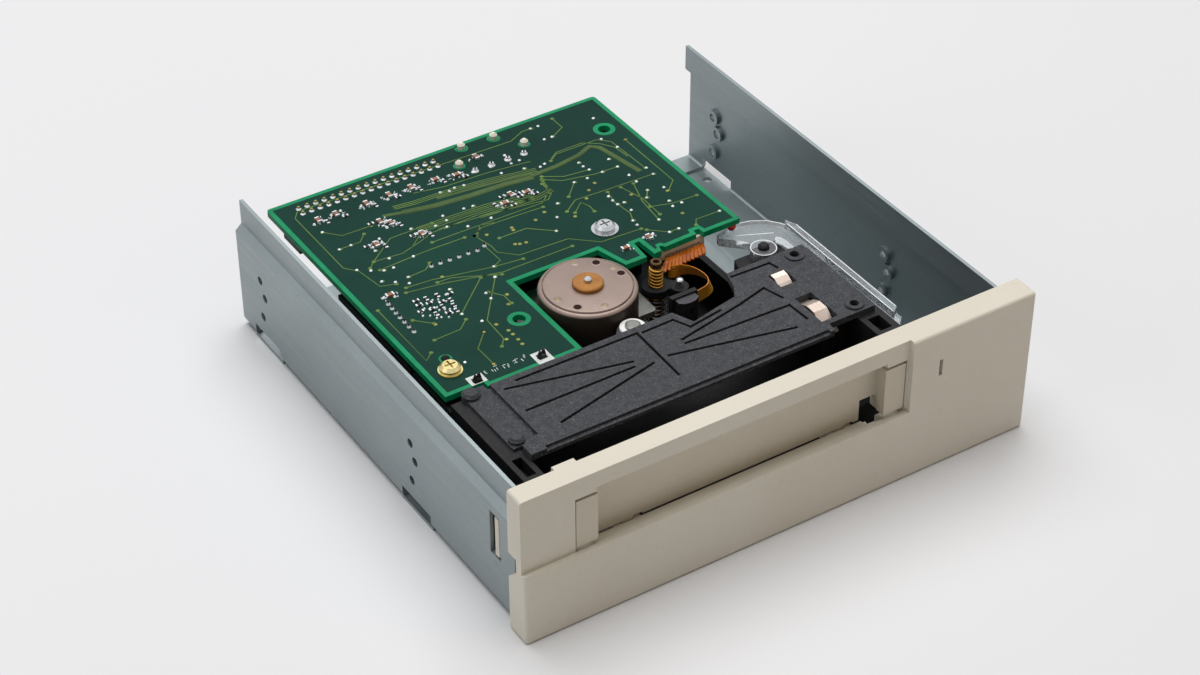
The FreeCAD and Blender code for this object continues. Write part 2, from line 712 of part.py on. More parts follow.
def make_guides():
    """The two side walls of the cartridge bay, with slots for the latch arms."""
    left = body_named("cartridge_guide_left")
    foot = polygon(("guide_left_out", "guide_front"), ("lead_left", "guide_front"),
                   ("lead_left", "shelf_front - 0.4"), ("lead_left + 1.6", "shelf_front"),
                   ("guide_left_in - 1.4", "shelf_front"), ("guide_left_in", "shelf_front + 2.6"),
                   ("guide_left_in", "guide_rear"), ("guide_left_out", "guide_rear"))
    pad(left, "Z", "base_top", "bridge_low", foot)
    cut(left, "Z", "guide_low_top", "bridge_low + 1",
        rectangle("guide_left_out - 1", "guide_left_in + 1", "bridge_back + 0.2", "guide_rear + 1"))
    cut(left, "X", "guide_left_in - slot_reach", "guide_left_in + 1",
        rectangle("slot_front", "slot_rear", "slot_low", "slot_high"))
    cut(left, "Z", "slot_low - 1.8", "slot_high + 2", circle("pivot_left", "pivot_depth", "latch_pin_radius"))
    pad(left, "Z", "guide_low_top - 1", "board_low",
        circle("screw_front_x", "screw_front_depth", "boss_radius - 0.3"))
    cut(left, "Z", "board_low - 9", "board_low + 1",
        circle("screw_front_x", "screw_front_depth", "board_screw_radius"))
    pad(left, "Z", "guide_low_top - 1", "board_top + 0.9",
        circle("peg_x", "peg_depth", "peg_radius"),
        rectangle("-57.3", "-55.7", "50.2", "51.6"))
    soften(left, "0.6", lambda e: e.BoundBox.ZMin > 38 and isinstance(e.Curve, Part.Circle),
           "PartDesign::Chamfer")
    cut(left, "Z", "bridge_low - 3.5", "bridge_low + 1", rectangle("-64.6", "-62.0", "15", "22"))
    cut(left, "X", "guide_left_out - 1", "guide_left_out + 1.2", rectangle("31", "36", "17", "33"),
        rectangle("39", "44", "17", "33"))

    right = body_named("cartridge_guide_right")
    foot = polygon(("guide_right_out", "guide_front"), ("guide_right_out", "guide_rear"),
                   ("guide_right_in + 1", "guide_rear"), ("guide_right_in", "guide_rear - 3"),
                   ("guide_right_in", "shelf_front + 2.6"), ("guide_right_in + 1.4", "shelf_front"),
                   ("lead_right - 1.6", "shelf_front"), ("lead_right", "shelf_front - 0.4"),
                   ("lead_right", "guide_front"))
    pad(right, "Z", "base_top", "bridge_low", foot)
    cut(right, "Z", "pipe_low", "bridge_low + 1",
        rectangle("guide_right_in - 1", "guide_right_out + 1", "53.6", "guide_rear + 1"))
    cut(right, "X", "guide_right_in - 1", "guide_right_in + slot_reach",
        rectangle("slot_front", "slot_rear", "slot_low", "slot_high"))
    cut(right, "Z", "slot_low - 1.8", "slot_high + 2", circle("pivot_right", "pivot_depth", "latch_pin_radius"))
    pad(right, "Z", "pipe_low - 1", "pipe_top + 1.2", circle("ring_x", "ring_depth", "ring_peg"))
    soften(right, "0.5", lambda e: e.BoundBox.ZMin > number("pipe_top + 1") and e.BoundBox.YMin > 58
           and isinstance(e.Curve, Part.Circle), "PartDesign::Chamfer")
    cut(right, "Z", "slot_high + 2", "bridge_low + 1",
        rectangle("guide_right_in - 1", "guide_right_in + 2.8", "shelf_front - 1", "50"))
    cut(right, "Z", "bridge_low - 3.5", "bridge_low + 1", rectangle("38.0", "41.6", "15", "20.5"))
    cut(right, "X", "guide_right_out - 1.2", "guide_right_out + 1", rectangle("31", "36", "17", "29"),
        rectangle("39", "44", "17", "29"))


def make_latches():
    """Two sprung arms that click into the notches of a cartridge, with their pins and springs."""
    arm = (("-1.9", "2.0"), ("1.9", "2.0"), ("2.9", "-2.4"), ("3.9", "-10.4"), ("6.2", "-13.2"),
           ("6.2", "-14.5"), ("4.4", "-15.9"), ("1.6", "-15.1"), ("0.2", "-8.6"), ("-2.4", "-2.6"),
           ("-2.6", "0.6"))
    for side, sign in (("left", ""), ("right", "-")):
        latch = body_named(f"latch_arm_{side}", x=f"pivot_{side}", depth="pivot_depth")
        pad(latch, "Z", "latch_low", "latch_low + latch_gauge", polygon(*[(f"{sign}({u})", v) for u, v in arm]))
        cut(latch, "Z", "latch_low - 1", "latch_low + latch_gauge + 1",
            circle("0", "0", "latch_pin_radius + latch_play"))
        soften(latch, "0.8", lambda e: runs_along(e, "z") and e.BoundBox.YMax < -13)
    pins = body_named("latch_pins", loose=True)
    pad(pins, "Z", "slot_low - 1.8", "slot_high + 2", circle("pivot_left", "pivot_depth", "latch_pin_radius"),
        circle("pivot_right", "pivot_depth", "latch_pin_radius"))
    for side in ("left", "right"):
        sleeve(f"latch_spring_{side}", f"pivot_{side}", "pivot_depth", "latch_low + latch_gauge + 0.1",
               "slot_high - latch_low - latch_gauge - 0.2", "latch_pin_radius + 0.2", "0.3")


def sleeve(label, x, depth, height, length, inner, wall, flat=False):
    """A coil spring as a sleeve of the coil's own bore and outside, upright, or across if flat."""
    spring = body_named(label, x=x, depth=depth, height=height)
    outer = f"({inner}) + ({wall})"
    pad(spring, "X" if flat else "Z", "0", length, circle("0", "0", outer))
    cut(spring, "X" if flat else "Z", "-1", f"({length}) + 1", circle("0", "0", inner))
    return spring


def stroke(points):
    """Outline a groove of even width along straight runs between numbered points."""
    outlines = []
    for (u1, v1), (u2, v2) in zip(points, points[1:]):
        length = math.hypot(u2 - u1, v2 - v1)
        du = (u2 - u1) / length
        dv = (v2 - v1) / length
        corners = []
        for u, v, end, side in ((u1, v1, -1, -1), (u2, v2, 1, -1), (u2, v2, 1, 1), (u1, v1, -1, 1)):
            corners.append((f"{u:.2f} + groove_width * {(end * du - side * dv) / 2:.4f}",
                            f"{v:.2f} + groove_width * {(end * dv + side * du) / 2:.4f}"))
        outlines.append(polygon(*corners))
    return outlines


def ribbon(points):
    """Outline a thin band on edge along a bent path, half its gauge to each side."""
    near = []
    far = []
    for i, (u, v) in enumerate(points):
        (u1, v1), (u2, v2) = points[max(i - 1, 0)], points[min(i + 1, len(points) - 1)]
        length = math.hypot(u2 - u1, v2 - v1)
        nu, nv = (v1 - v2) / length, (u2 - u1) / length
        near.append((f"{u} + flex_gauge / 2 * {nu:.4f}", f"{v} + flex_gauge / 2 * {nv:.4f}"))
        far.insert(0, (f"{u} - flex_gauge / 2 * {nu:.4f}", f"{v} - flex_gauge / 2 * {nv:.4f}"))
    return polygon(*near, *far)


GROOVES = (
    ((-52.9, 43.8), (-21.5, 36.1)),
    ((-52.8, 34.1), (-22.3, 34.2)),
    ((-48.2, 25.9), (-17.6, 32.9)),
    ((-48.9, 45.3), (-14.4, 45.0), (-14.9, 26.0)),
    ((-12.9, 44.5), (-3.9, 44.7), (-1.8, 40.0), (8.2, 41.6)),
    ((-6.4, 36.9), (13.6, 40.9), (22.6, 43.3), (24.2, 37.5)),
    ((-6.5, 35.2), (23.9, 34.0), (24.2, 27.1)),
    ((-12.7, 33.4), (19.9, 25.6)),
    ((18.6, 51.6), (30.0, 51.2), (30.6, 48.6)),
)


def make_bridge():
    """The moulded plate over the cartridge bay, its leaf spring, and the washer on its tongue."""
    bridge = body_named("cartridge_bridge")
    plate = polygon(("bridge_left", "bridge_front"), ("27.2", "bridge_front"), ("27.6", "22.4"),
                    ("41.8", "22.4"), ("41.8", "53.4"), ("18.3", "53.4"), ("16.6", "47.8"),
                    ("14.5", "44.3"), ("9.2", "43.3"), ("0.1", "41.3"), ("-2.5", "bridge_back"),
                    ("bridge_left", "bridge_back"))
    pad(bridge, "Z", "bridge_low", "bridge_top", plate)
    pad(bridge, "Z", "bridge_low", "bridge_top",
        polygon(("-60.6", "bridge_front"), ("bridge_left + 1", "bridge_front"),
                ("bridge_left + 1", "25.2"), ("-57.4", "25.2"), ("-60.6", "23.4")))
    pad(bridge, "Z", "bridge_low", "bridge_top - 1",
        polygon(("-62.5", "24.5"), ("bridge_left + 0.5", "24.5"), ("bridge_left + 0.5", "46.6"),
                ("bridge_left - 0.8", "47.2"), ("bridge_left - 0.8", "49.2"), ("-61.2", "49.2"),
                ("-62.5", "47.4")))
    left_window = "bridge_window_left"
    cut(bridge, "Z", "bridge_low - 1", "bridge_top + 1",
        rectangle(left_window + " - 0.5", left_window + " + 4.5", "24.0", "35.4"),
        rectangle(left_window + " - 0.5", left_window + " + 4.5", "41.2", "46.8"))
    pad(bridge, "Z", "bridge_low", "bridge_top + 0.4", circle("-60.7", "47.0", "2.3"),
              circle("-60.2", "26.8", "2.0"))
    soften(bridge, "0.7", lambda e: e.BoundBox.ZMin > number("bridge_top + 0.3"), "PartDesign::Chamfer")
    pad(bridge, "Z", "bridge_low", "bridge_top + 0.5", circle("37.3", "50.4", "2.6"),
        circle("37.5", "25.4", "2.4"))
    cut(bridge, "Z", "bridge_low - 1", "bridge_top + 1", circle("37.3", "50.4", "1.3"),
        circle("37.5", "25.4", "1.2"))
    channels = []
    for run in GROOVES:
        channels += stroke(run)
    for outline in channels:
        cut(bridge, "Z", "bridge_top - groove_depth", "bridge_top + 1", outline)
    cut(bridge, "Z", "bridge_top - 0.8", "bridge_top + 1",
        rectangle("bridge_left - 1", "26.0", "bridge_front - 1", "bridge_front + 1.1"))
    tongue = polygon(("-17.0", "43.4"), ("-7.4", "43.4"), ("-7.4", "50.4"), ("-9.2", "52.6"),
                     ("-12.2", "53.4"), ("-15.2", "52.6"), ("-17.0", "50.4"))
    pad(bridge, "Z", "washer_low - 0.5", "bridge_low + 0.4", rectangle("-17.0", "-7.4", "43.4", "46.4"),
        rectangle("-41.6", "-35.4", "43.4", "47.2"))
    pad(bridge, "Z", "washer_low - 0.9", "washer_low", tongue)
    pad(bridge, "Z", "board_low - 1.15", "board_low - 0.05", rectangle("-41.6", "-35.4", "43.4", "52.4"))
    pad(bridge, "Z", "board_low - 0.5", "board_top + 0.9", rectangle("-39.3", "-37.7", "49.7", "51.1"))
    cut(bridge, "Z", "washer_low - 2", "washer_low + 0.01",
        circle("washer_x", "washer_depth", "washer_shank"))

    strip = body_named("cartridge_leaf_spring")
    path = (("22.8", 34.4), ("24.6", 35.2), ("26.2", 36.6), ("28.0", 38.1), ("31.0", 38.2), ("33.4", 37.2),
            ("35.0", 35.9), ("41.4", 35.9), ("43.2", 37.2), ("44.8", 38.1), ("46.4", 38.3))
    upper = [(d, f"{z} + 0.25") for d, z in path]
    lower = [(d, f"{z} - 0.25") for d, z in reversed(path)]
    pad(strip, "X", left_window, left_window + " + 4", polygon(*upper, *lower))

    washer = body_named("nylon_washer", x="washer_x", depth="washer_depth")
    turn(washer, ("washer_shank + 0.4", "washer_low"), ("3.4", "washer_low"), ("3.4", "washer_low + 0.6"),
         ("3.2", "washer_low + 0.8"), ("washer_shank + 0.4", "washer_low + 0.8"))
    screw = body_named("washer_screw", x="washer_x", depth="washer_depth")
    turn(screw, ("0", "washer_low - 3"), ("washer_shank", "washer_low - 3"), ("washer_shank", "washer_low + 0.8"),
         ("2.0", "washer_low + 0.8"), ("2.0", "washer_low + 1.3"), ("1.5", "washer_low + 1.6"),
         ("0", "washer_low + 1.6"))


def make_board():
    """The circuit board with its cut-out, its edge notches and every hole that something passes."""
    board = body_named("main_board")
    outline = polygon(("board_left", "board_rear"), ("board_left", "49.6"), ("-55.5", "49.6"),
                      ("-55.5", "board_nose"), ("notch_side", "board_nose"), ("notch_side", "notch_back"),
                      ("-3.0", "notch_back"), ("-2.0", "76.7"), ("-0.5", "71.1"), ("5.9", "71.1"),
                      ("6.4", "77.9"), ("8.0", "77.9"), ("8.3", "71.2"), ("10.6", "71.4"), ("11.0", "73.2"),
                      ("11.7", "73.2"), ("12.3", "72.2"), ("22.2", "72.6"), ("22.4", "74.2"),
                      ("24.0", "74.2"), ("24.2", "board_front"), ("board_right", "board_front"),
                      ("board_right", "board_rear"))
    pad(board, "Z", "board_low", "board_top", outline)
    soften(board, "1.0", lambda e: runs_along(e, "z") and e.BoundBox.YMin > 142)
    holes = [circle("spare_rear_x", "spare_rear_depth", "board_hole_radius"),
             circle("spare_front_x", "spare_front_depth", "board_hole_radius"),
             circle("screw_rear_x", "screw_rear_depth", "board_hole_radius"),
             circle("screw_front_x", "screw_front_depth", "board_hole_radius"),
             circle("peg_x", "peg_depth", "peg_radius + 0.15"),
             rectangle("-57.6", "-55.4", "50.0", "51.8"), rectangle("-39.6", "-37.4", "49.5", "51.3")]
    holes += [circle(x, d, "nylon_peg + 0.1") for x, d in NYLON]
    cut(board, "Z", "board_low - 1", "board_top + 1", *holes)
    half = "(pin_width / 2 + 0.04)"
    row = cut(board, "Z", "board_low - 1", "board_top + 1",
              *[rectangle(f"pins_first - {half}", f"pins_first + {half}", f"{d} - {half}", f"{d} + {half}")
                for d in ("pins_inner", "pins_outer")])
    repeat(board, row, "X", "pins_across", "pin_pitch")
    tails = cut(board, "Z", "board_low - 1", "board_top + 1", circle("power_first", "power_tail", "0.7"))
    repeat(board, tails, "X", "4", "power_pitch")


NYLON = (("-8.5", "140.1"), ("1.3", "139.6"), ("-13.3", "132.9"), ("6.8", "132.5"))


def make_connectors():
    """The interface header and the power inlet at the back, under the board."""
    header = body_named("interface_header")
    pad(header, "Z", "header_low_edge", "board_low",
        rectangle("pins_first - 3.0", "pins_first + pin_pitch * (pins_across - 1) + 3.0",
                  "header_front", "header_rear"))
    cut(header, "Y", "header_front + 1.4", "header_rear + 1",
        rectangle("pins_first - 2.2", "pins_first + pin_pitch * (pins_across - 1) + 2.2",
                  "header_low_edge + 1.3", "board_low - 1.6"))
    cut(header, "Y", "header_front + 3", "header_rear + 1",
        rectangle("pins_first + pin_pitch * 8 - 2.2", "pins_first + pin_pitch * 8 + 2.2",
                  "header_low_edge - 1", "header_low_edge + 2"))
    row = cut(header, "Z", "board_low - 2", "board_low + 1",
              *[rectangle("pins_first - pin_width / 2", "pins_first + pin_width / 2",
                          f"{d} - pin_width / 2", f"{d} + pin_width / 2")
                for d in ("pins_inner", "pins_outer")])
    repeat(header, row, "X", "pins_across", "pin_pitch")

    pins = body_named("header_pins", loose=True)
    half = "(pin_width / 2)"
    angles = []
    for depth, level in (("pins_inner", "header_low_edge + 3.2"), ("pins_outer", "header_low_edge + 5.74")):
        angles.append(polygon((f"{depth} - {half}", "board_top + 0.8"), (f"{depth} - {half}", f"{level} - {half}"),
                              ("pins_end - 4.6", f"{level} - {half}"), ("pins_end - 4.6", f"{level} + {half}"),
                              (f"{depth} + {half}", f"{level} + {half}"), (f"{depth} + {half}", "board_top + 0.8")))
    first = pad(pins, "X", f"pins_first - {half}", f"pins_first + {half}", *angles)
    repeat(pins, first, "X", "pins_across", "pin_pitch")

    inlet = body_named("power_connector")
    pad(inlet, "Y", "power_front", "power_rear",
        polygon(("power_left", "power_low + 3"), ("power_left + 3", "power_low"), ("power_right - 3", "power_low"),
                ("power_right", "power_low + 3"), ("power_right", "board_low"), ("power_left", "board_low")))
    cut(inlet, "Y", "power_front + 2.2", "power_rear + 1",
        polygon(("power_left + 1.6", "power_low + 3.4"), ("power_left + 3.6", "power_low + 1.5"),
                ("power_right - 3.6", "power_low + 1.5"), ("power_right - 1.6", "power_low + 3.4"),
                ("power_right - 1.6", "board_low - 1.7"), ("power_left + 1.6", "board_low - 1.7")))
    row = cut(inlet, "Y", "power_front - 1", "power_front + 4", circle("power_first", "board_low - 5.6", "1.08"))
    repeat(inlet, row, "X", "4", "power_pitch")
    pad(inlet, "Z", "board_low - 1", "board_top + 1.75", *[circle(x, d, "nylon_peg") for x, d in NYLON])
    soften(inlet, "0.6", lambda e: e.BoundBox.ZMin > number("board_top + 1.5"), "PartDesign::Chamfer")

    blades = body_named("power_pins", loose=True)
    pad(blades, "Y", "power_tail - 0.6", "power_rear - 1.6", circle("power_first", "board_low - 5.6", "1.05"))
    pad(blades, "Z", "board_low - 5.6", "board_top + 0.8", circle("power_first", "power_tail", "0.6"))
    copies = body_row(blades, "4", "power_pitch")


def body_row(body, count, pitch):
    """Repeat everything a body holds so far in a row along X."""
    row = body.newObject("PartDesign::LinearPattern", body.Label + "_row")
    row.Originals = [f for f in body.Group if f.isDerivedFrom("PartDesign::FeatureAddSub")]
    line = [f for f in body.Origin.OriginFeatures if f.Role == "X_Axis"][0]
    row.Direction = (line, [""])
    row.setExpression("Length", bound(f"({pitch}) * (({count}) - 1)"))
    row.setExpression("Occurrences", bound(count))
    body.Tip = row
    doc.recompute()
    return row


def make_board_parts():
    """What hangs under the board: chips, capacitors, switches, the flex socket and the lamp."""
    chips = body_named("controller_chips", loose=True)
    for left, right, front, back, drop in CHIPS:
        pad(chips, "Z", f"board_low - {drop}", "board_low", rectangle(left, right, front, back))
    cans = body_named("filter_capacitors", loose=True)
    for x, depth, radius, drop in CANS:
        pad(cans, "Z", f"board_low - {drop}", "board_low", circle(x, depth, radius))
    soften(cans, "0.6", lambda e: isinstance(e.Curve, Part.Circle) and e.BoundBox.ZMax < number("board_low - 1"),
           "PartDesign::Chamfer")

    socket = body_named("flex_connector")
    pad(socket, "Z", "socket_low", "board_low",
        polygon(("11.6", "73.2"), ("25.2", "73.2"), ("25.2", "78.2"), ("11.6", "78.2")))
    cut(socket, "Y", "73", "76.2", rectangle("12.9", "23.9", "socket_low + 0.7", "socket_low + 1.5"))
    lamp = body_named("status_led")
    pad(lamp, "Z", "pipe_low + 0.2", "board_low", rectangle("32.2", "34.6", "71.4", "73.9"))

    for name, x in (("cartridge_in", "-49.5"), ("write_protect", "-42.9")):
        case = body_named(f"{name}_switch")
        pad(case, "Z", "board_low - 6.4", "board_low", rectangle(f"{x} - 2.9", f"{x} + 2.9", "switch_front", "switch_front + 7.8"))
        cut(case, "Y", "switch_front - 1", "switch_front + 4.5", circle(x, "board_low - 4.4", "plunger_radius + 0.05"))
        plunger = body_named(f"{name}_plunger")
        pad(plunger, "Y", "switch_front - 2.2", "switch_front + 2.6", circle(x, "board_low - 4.4", "plunger_radius"))
        soften(plunger, "0.4", lambda e: e.BoundBox.YMax < number("switch_front - 2.1"), "PartDesign::Chamfer")


CHIPS = (("-60", "-46", "106", "120", "2.4"), ("-36", "-22", "104", "118", "2.4"),
         ("-14", "-4", "96", "103", "1.8"), ("-56", "-44", "80", "88", "1.8"))
CANS = (("14", "112", "4.0", "11"), ("-12", "120", "3.2", "8"), ("16", "132", "3.2", "8"))


def make_screws():
    """Every screw: the board's, the motor plate's and those through the tray floor."""
    for name, x, depth, wide in (("rear", "screw_rear_x", "screw_rear_depth", "3.6"),
                                 ("front", "screw_front_x", "screw_front_depth", "3.1")):
        screw = body_named(f"board_screw_{name}", x=x, depth=depth)
        turn(screw, ("0", "board_low - 6"), ("board_screw_radius", "board_low - 6"),
             ("board_screw_radius", "board_top"), (wide, "board_top"), (wide, "board_top + 0.5"),
             ("2.7", "board_top + 0.5"), ("2.7", "board_top + 1.3"), ("1.9", "board_top + 2.1"),
             ("0", "board_top + 2.1"))
        cut(screw, "Z", "board_top + 1.3", "board_top + 3", rectangle("-1.5", "1.5", "-0.25", "0.25"))
        cut(screw, "Z", "board_top + 1.3", "board_top + 3", rectangle("-0.25", "0.25", "-1.5", "-0.25"),
            rectangle("-0.25", "0.25", "0.25", "1.5"))
    floor = body_named("mechanism_screws", loose=True)
    pad(floor, "Z", "0.1", "pad_drop", *[circle(x, d, "foot_screw_radius + 1.1") for x, d in FEET])
    pad(floor, "Z", "pad_drop - 0.2", "base_low + 2.9", *[circle(x, d, "foot_screw_radius") for x, d in FEET])
    plate = body_named("motor_screws", loose=True)
    pad(plate, "Z", "plate_top", "plate_top + 1.1", *[circle(x, d, "motor_screw_radius + 1") for x, d in MOTOR_POSTS])
    pad(plate, "Z", "plate_top - 6", "plate_top + 0.2", *[circle(x, d, "motor_screw_radius") for x, d in MOTOR_POSTS])


def make_motor():
    """The drive motor: bell, hub, shaft, magnet, wound core, bearing, plate and rubber roller."""
    at = {"x": "motor_x", "depth": "motor_depth"}
    cup = body_named("rotor_cup", **at)
    turn(cup, ("3", "bell_top - 1.2"), ("magnet_out", "bell_top - 1.2"), ("magnet_out", "bell_low"),
         ("bell_radius", "bell_low"), ("bell_radius", "bell_top - 0.8"), ("bell_radius - 0.4", "bell_top - 0.6"),
         ("bell_radius - 0.4", "bell_top - 0.2"), ("bell_radius - 0.6", "bell_top"), ("3", "bell_top"))
    dimple = cut(cup, "Z", "bell_top - 0.35", "bell_top + 1", circle("8.4", "0", "0.9"))
    ring = cup.newObject("PartDesign::PolarPattern", "rotor_cup_dimples")
    ring.Originals = [dimple]
    ring.Axis = ([f for f in cup.Origin.OriginFeatures if f.Role == "Z_Axis"][0], [""])
    ring.Angle = 360
    ring.Occurrences = 3
    cup.Tip = ring
    doc.recompute()
    hub = body_named("rotor_hub", **at)
    turn(hub, ("shaft_radius", "bell_top - 2"), ("3", "bell_top - 2"), ("3", "bell_top"),
         ("hub_radius", "bell_top"), ("hub_radius", "bell_top + hub_rise - 0.3"),
         ("hub_radius - 0.3", "bell_top + hub_rise"), ("shaft_radius", "bell_top + hub_rise"))
    shaft = body_named("motor_shaft", **at)
    turn(shaft, ("0", "shaft_low"), ("shaft_radius", "shaft_low"), ("shaft_radius", "shaft_top - 0.3"),
         ("shaft_radius - 0.3", "shaft_top"), ("0", "shaft_top"))
    magnet = body_named("rotor_magnet", **at)
    turn(magnet, ("magnet_in", "bell_low + 0.8"), ("magnet_out", "bell_low + 0.8"),
         ("magnet_out", "bell_top - 2"), ("magnet_in", "bell_top - 2"))
    bearing = body_named("motor_bearing", **at)
    turn(bearing, ("shaft_radius + 0.03", "plate_low - 0.3"), ("3", "plate_low - 0.3"), ("3", "plate_top"),
         ("4.4", "plate_top"), ("4.4", "plate_top + 1"), ("3", "plate_top + 1"), ("3", "bell_top - 2.8"),
         ("shaft_radius + 0.03", "bell_top - 2.8"))
    core = body_named("motor_stator", **at)
    turn(core, ("3", "bell_low + 1.8"), ("5.4", "bell_low + 1.8"), ("5.4", "bell_low + 5.6"), ("3", "bell_low + 5.6"))
    pole = pad(core, "Z", "bell_low + 2.2", "bell_low + 5.2",
               polygon(("4.8", "-0.9"), ("8.4", "-0.9"), ("8.8", "-2.6"), ("9.4", "-2.5"),
                       ("stator_radius", "0"), ("9.4", "2.5"), ("8.8", "2.6"), ("8.4", "0.9"), ("4.8", "0.9")))
    ring = core.newObject("PartDesign::PolarPattern", "motor_stator_poles")
    ring.Originals = [pole]
    ring.Axis = ([f for f in core.Origin.OriginFeatures if f.Role == "Z_Axis"][0], [""])
    ring.Angle = 360
    ring.setExpression("Occurrences", bound("pole_count"))
    core.Tip = ring
    doc.recompute()
    plate = body_named("motor_plate", **at)
    pad(plate, "Z", "plate_low", "plate_top",
        polygon(("-18", "-6"), ("17", "-6"), ("17.4", "6.4"), ("7", "18.6"), ("-7", "18.6"), ("-18", "6.4")))
    soften(plate, "1.2", lambda e: runs_along(e, "z"))
    cut(plate, "Z", "plate_low - 1", "plate_top + 1", circle("0", "0", "3"), circle("15", "4", "motor_screw_radius"),
        circle("0", "15.5", "motor_screw_radius"), circle("-15", "4", "motor_screw_radius"))
    roller = body_named("drive_roller", **at)
    turn(roller, ("shaft_radius", "roller_low"), ("roller_radius - 2.4", "roller_low"),
         ("roller_radius - 2.4", "roller_low + 0.6"), ("roller_radius - 0.4", "roller_low + 0.6"),
         ("roller_radius", "roller_low + 1.0"), ("roller_radius", "roller_low + roller_height - 0.4"),
         ("roller_radius - 0.4", "roller_low + roller_height"), ("shaft_radius", "roller_low + roller_height"))


def make_head():
    """The lead screw and its motor, the head and its carriage, the guide rod, spring and cable."""
    at = {"x": "screw_x", "depth": "screw_depth"}
    can = body_named("stepper_motor", **at)
    turn(can, ("0", "stepper_low"), ("stepper_radius - 0.4", "stepper_low"), ("stepper_radius", "stepper_low + 0.4"),
         ("stepper_radius", "stepper_top - 0.4"), ("stepper_radius - 0.4", "stepper_top"), ("2.5", "stepper_top"),
         ("2.5", "stepper_top + 2"), ("screw_core + 0.03", "stepper_top + 2"), ("screw_core + 0.03", "screw_low - 0.1"),
         ("0", "screw_low - 0.1"))
    worm = body_named("lead_screw", **at)
    turn(worm, ("0", "screw_low"), ("screw_core", "screw_low"), ("screw_core", "thread_low"),
         ("screw_radius", "thread_low"), ("screw_radius", "thread_top"), ("1.55", "thread_top"),
         ("1.55", "screw_top - 0.3"), ("1.25", "screw_top"), ("0", "screw_top"))
    rod = body_named("head_guide_rod", x="rod_x", depth="rod_depth")
    turn(rod, ("0", "rod_low"), ("rod_radius", "rod_low"), ("rod_radius", "rod_top - 0.5"),
         ("rod_radius * 0.7", "rod_top - 0.15"), ("0", "rod_top"))
    spring = body_named("anti_backlash_spring", **at)
    low = "stepper_top + 2.05"
    ridges = [("screw_radius + 0.3", "nut_low - 0.05"), ("screw_radius + 0.3", low)]
    for i in range(6):
        step = f"(nut_low - stepper_top - 2.1) / 6 * {i}"
        ridges += [("screw_radius + 0.5", f"{low} + {step}"),
                   ("screw_radius + 0.5 + spring_wire", f"{low} + {step} + spring_pitch / 2")]
    ridges.append(("screw_radius + 0.5", "nut_low - 0.05"))
    turn(spring, *ridges)
    carriage = body_named("head_carriage")
    pad(carriage, "Z", "nut_low", "nut_low + nut_height", circle("screw_x", "screw_depth", "nut_radius"))
    pad(carriage, "Z", "nut_low", "nut_low + nut_height",
        polygon(("screw_x + 1.6", "screw_depth - 3"), ("rod_x - 1.6", "rod_depth - 1.6"),
                ("rod_x + 1.4", "rod_depth + 1.8"), ("screw_x + 3.2", "screw_depth + 1")))
    pad(carriage, "Z", "sleeve_low", "sleeve_low + sleeve_height", circle("rod_x", "rod_depth", "sleeve_radius"))
    pad(carriage, "Z", "head_low - 0.8", "nut_low - 0.4",
        polygon(("rod_x - 1.5", "rod_depth - 0.4"), ("head_centre - 2.2", "head_front + head_depth + 0.4"),
                ("head_centre + 3.9", "head_front + head_depth + 0.4"), ("rod_x + 1.9", "rod_depth + 0.4")))
    pad(carriage, "Z", "head_low - 0.8", "head_low + head_height + 0.5",
        polygon(("head_centre - 3.9", "head_front + head_depth"), ("head_centre + 3.9", "head_front + head_depth"),
                ("head_centre + 3.9", "head_front + head_depth + 1.4"),
                ("head_centre - 3.9", "head_front + head_depth + 1.4")))
    cut(carriage, "Z", "sleeve_low - 2", "sleeve_low + sleeve_height + 1",
        circle("rod_x", "rod_depth", "rod_radius + 0.04"))
    cut(carriage, "Z", "nut_low - 1", "nut_low + nut_height + 1",
        circle("screw_x", "screw_depth", "screw_radius + 0.05"))
    head = body_named("tape_head")
    pad(head, "Z", "head_low", "head_low + head_height",
        polygon(("head_centre - head_width / 2", "head_front + head_depth"),
                ("head_centre - head_width / 2", "head_front + 1.1"), ("head_centre - 1.6", "head_front + 0.2"),
                ("head_centre", "head_front"), ("head_centre + 1.6", "head_front + 0.2"),
                ("head_centre + head_width / 2", "head_front + 1.1"),
                ("head_centre + head_width / 2", "head_front + head_depth")))
    cut(head, "Y", "head_front - 1", "head_front + 0.5",
        rectangle("head_centre - 0.5", "head_centre + 0.5", "head_low + 2", "head_low + 4"),
        rectangle("head_centre - 0.5", "head_centre + 0.5", "head_low + 6.4", "head_low + 8.4"))
    flex = body_named("head_flex_cable")
    path = ((18.4, 73.2), (13.6, 71.6), (12.6, 70.8), (13.6, 70.0), (16.2, 69.5), (18.4, 67.4), (19.4, 64.4),
            (18.9, 61.2), (16.6, 59.2), (12.2, 58.3))
    pad(flex, "Z", "flex_low", "flex_low + flex_width", ribbon(path))


def make_light_pipe():
    """The clear bar from the lamp to the slit in the front, held by a ring on the right guide."""
    pipe = body_named("light_pipe")
    pad(pipe, "Z", "pipe_low", "pipe_top",
        polygon(("34.9", "70.6"), ("pipe_left - 2", "69.6"), ("pipe_left", "67.6"), ("pipe_left", "8.6"),
                ("slit_centre - 0.45", "7.4"), ("slit_centre - 0.45", "1.0"), ("slit_centre + 0.45", "1.0"),
                ("slit_centre + 0.45", "7.4"), ("pipe_right", "8.6"), ("pipe_right", "70.4"),
                ("pipe_right - 1.8", "72.4"), ("34.9", "73.4")))
    pad(pipe, "Z", "pipe_low", "pipe_top", rectangle("ring_x - 1.2", "ring_x + 1.2", "ring_depth + 2.5", "71"))
    pad(pipe, "Z", "pipe_low", "pipe_top", circle("ring_x", "ring_depth", "ring_out"))
    cut(pipe, "Z", "pipe_low - 1", "pipe_top + 1", circle("ring_x", "ring_depth", "ring_peg + 0.1"))


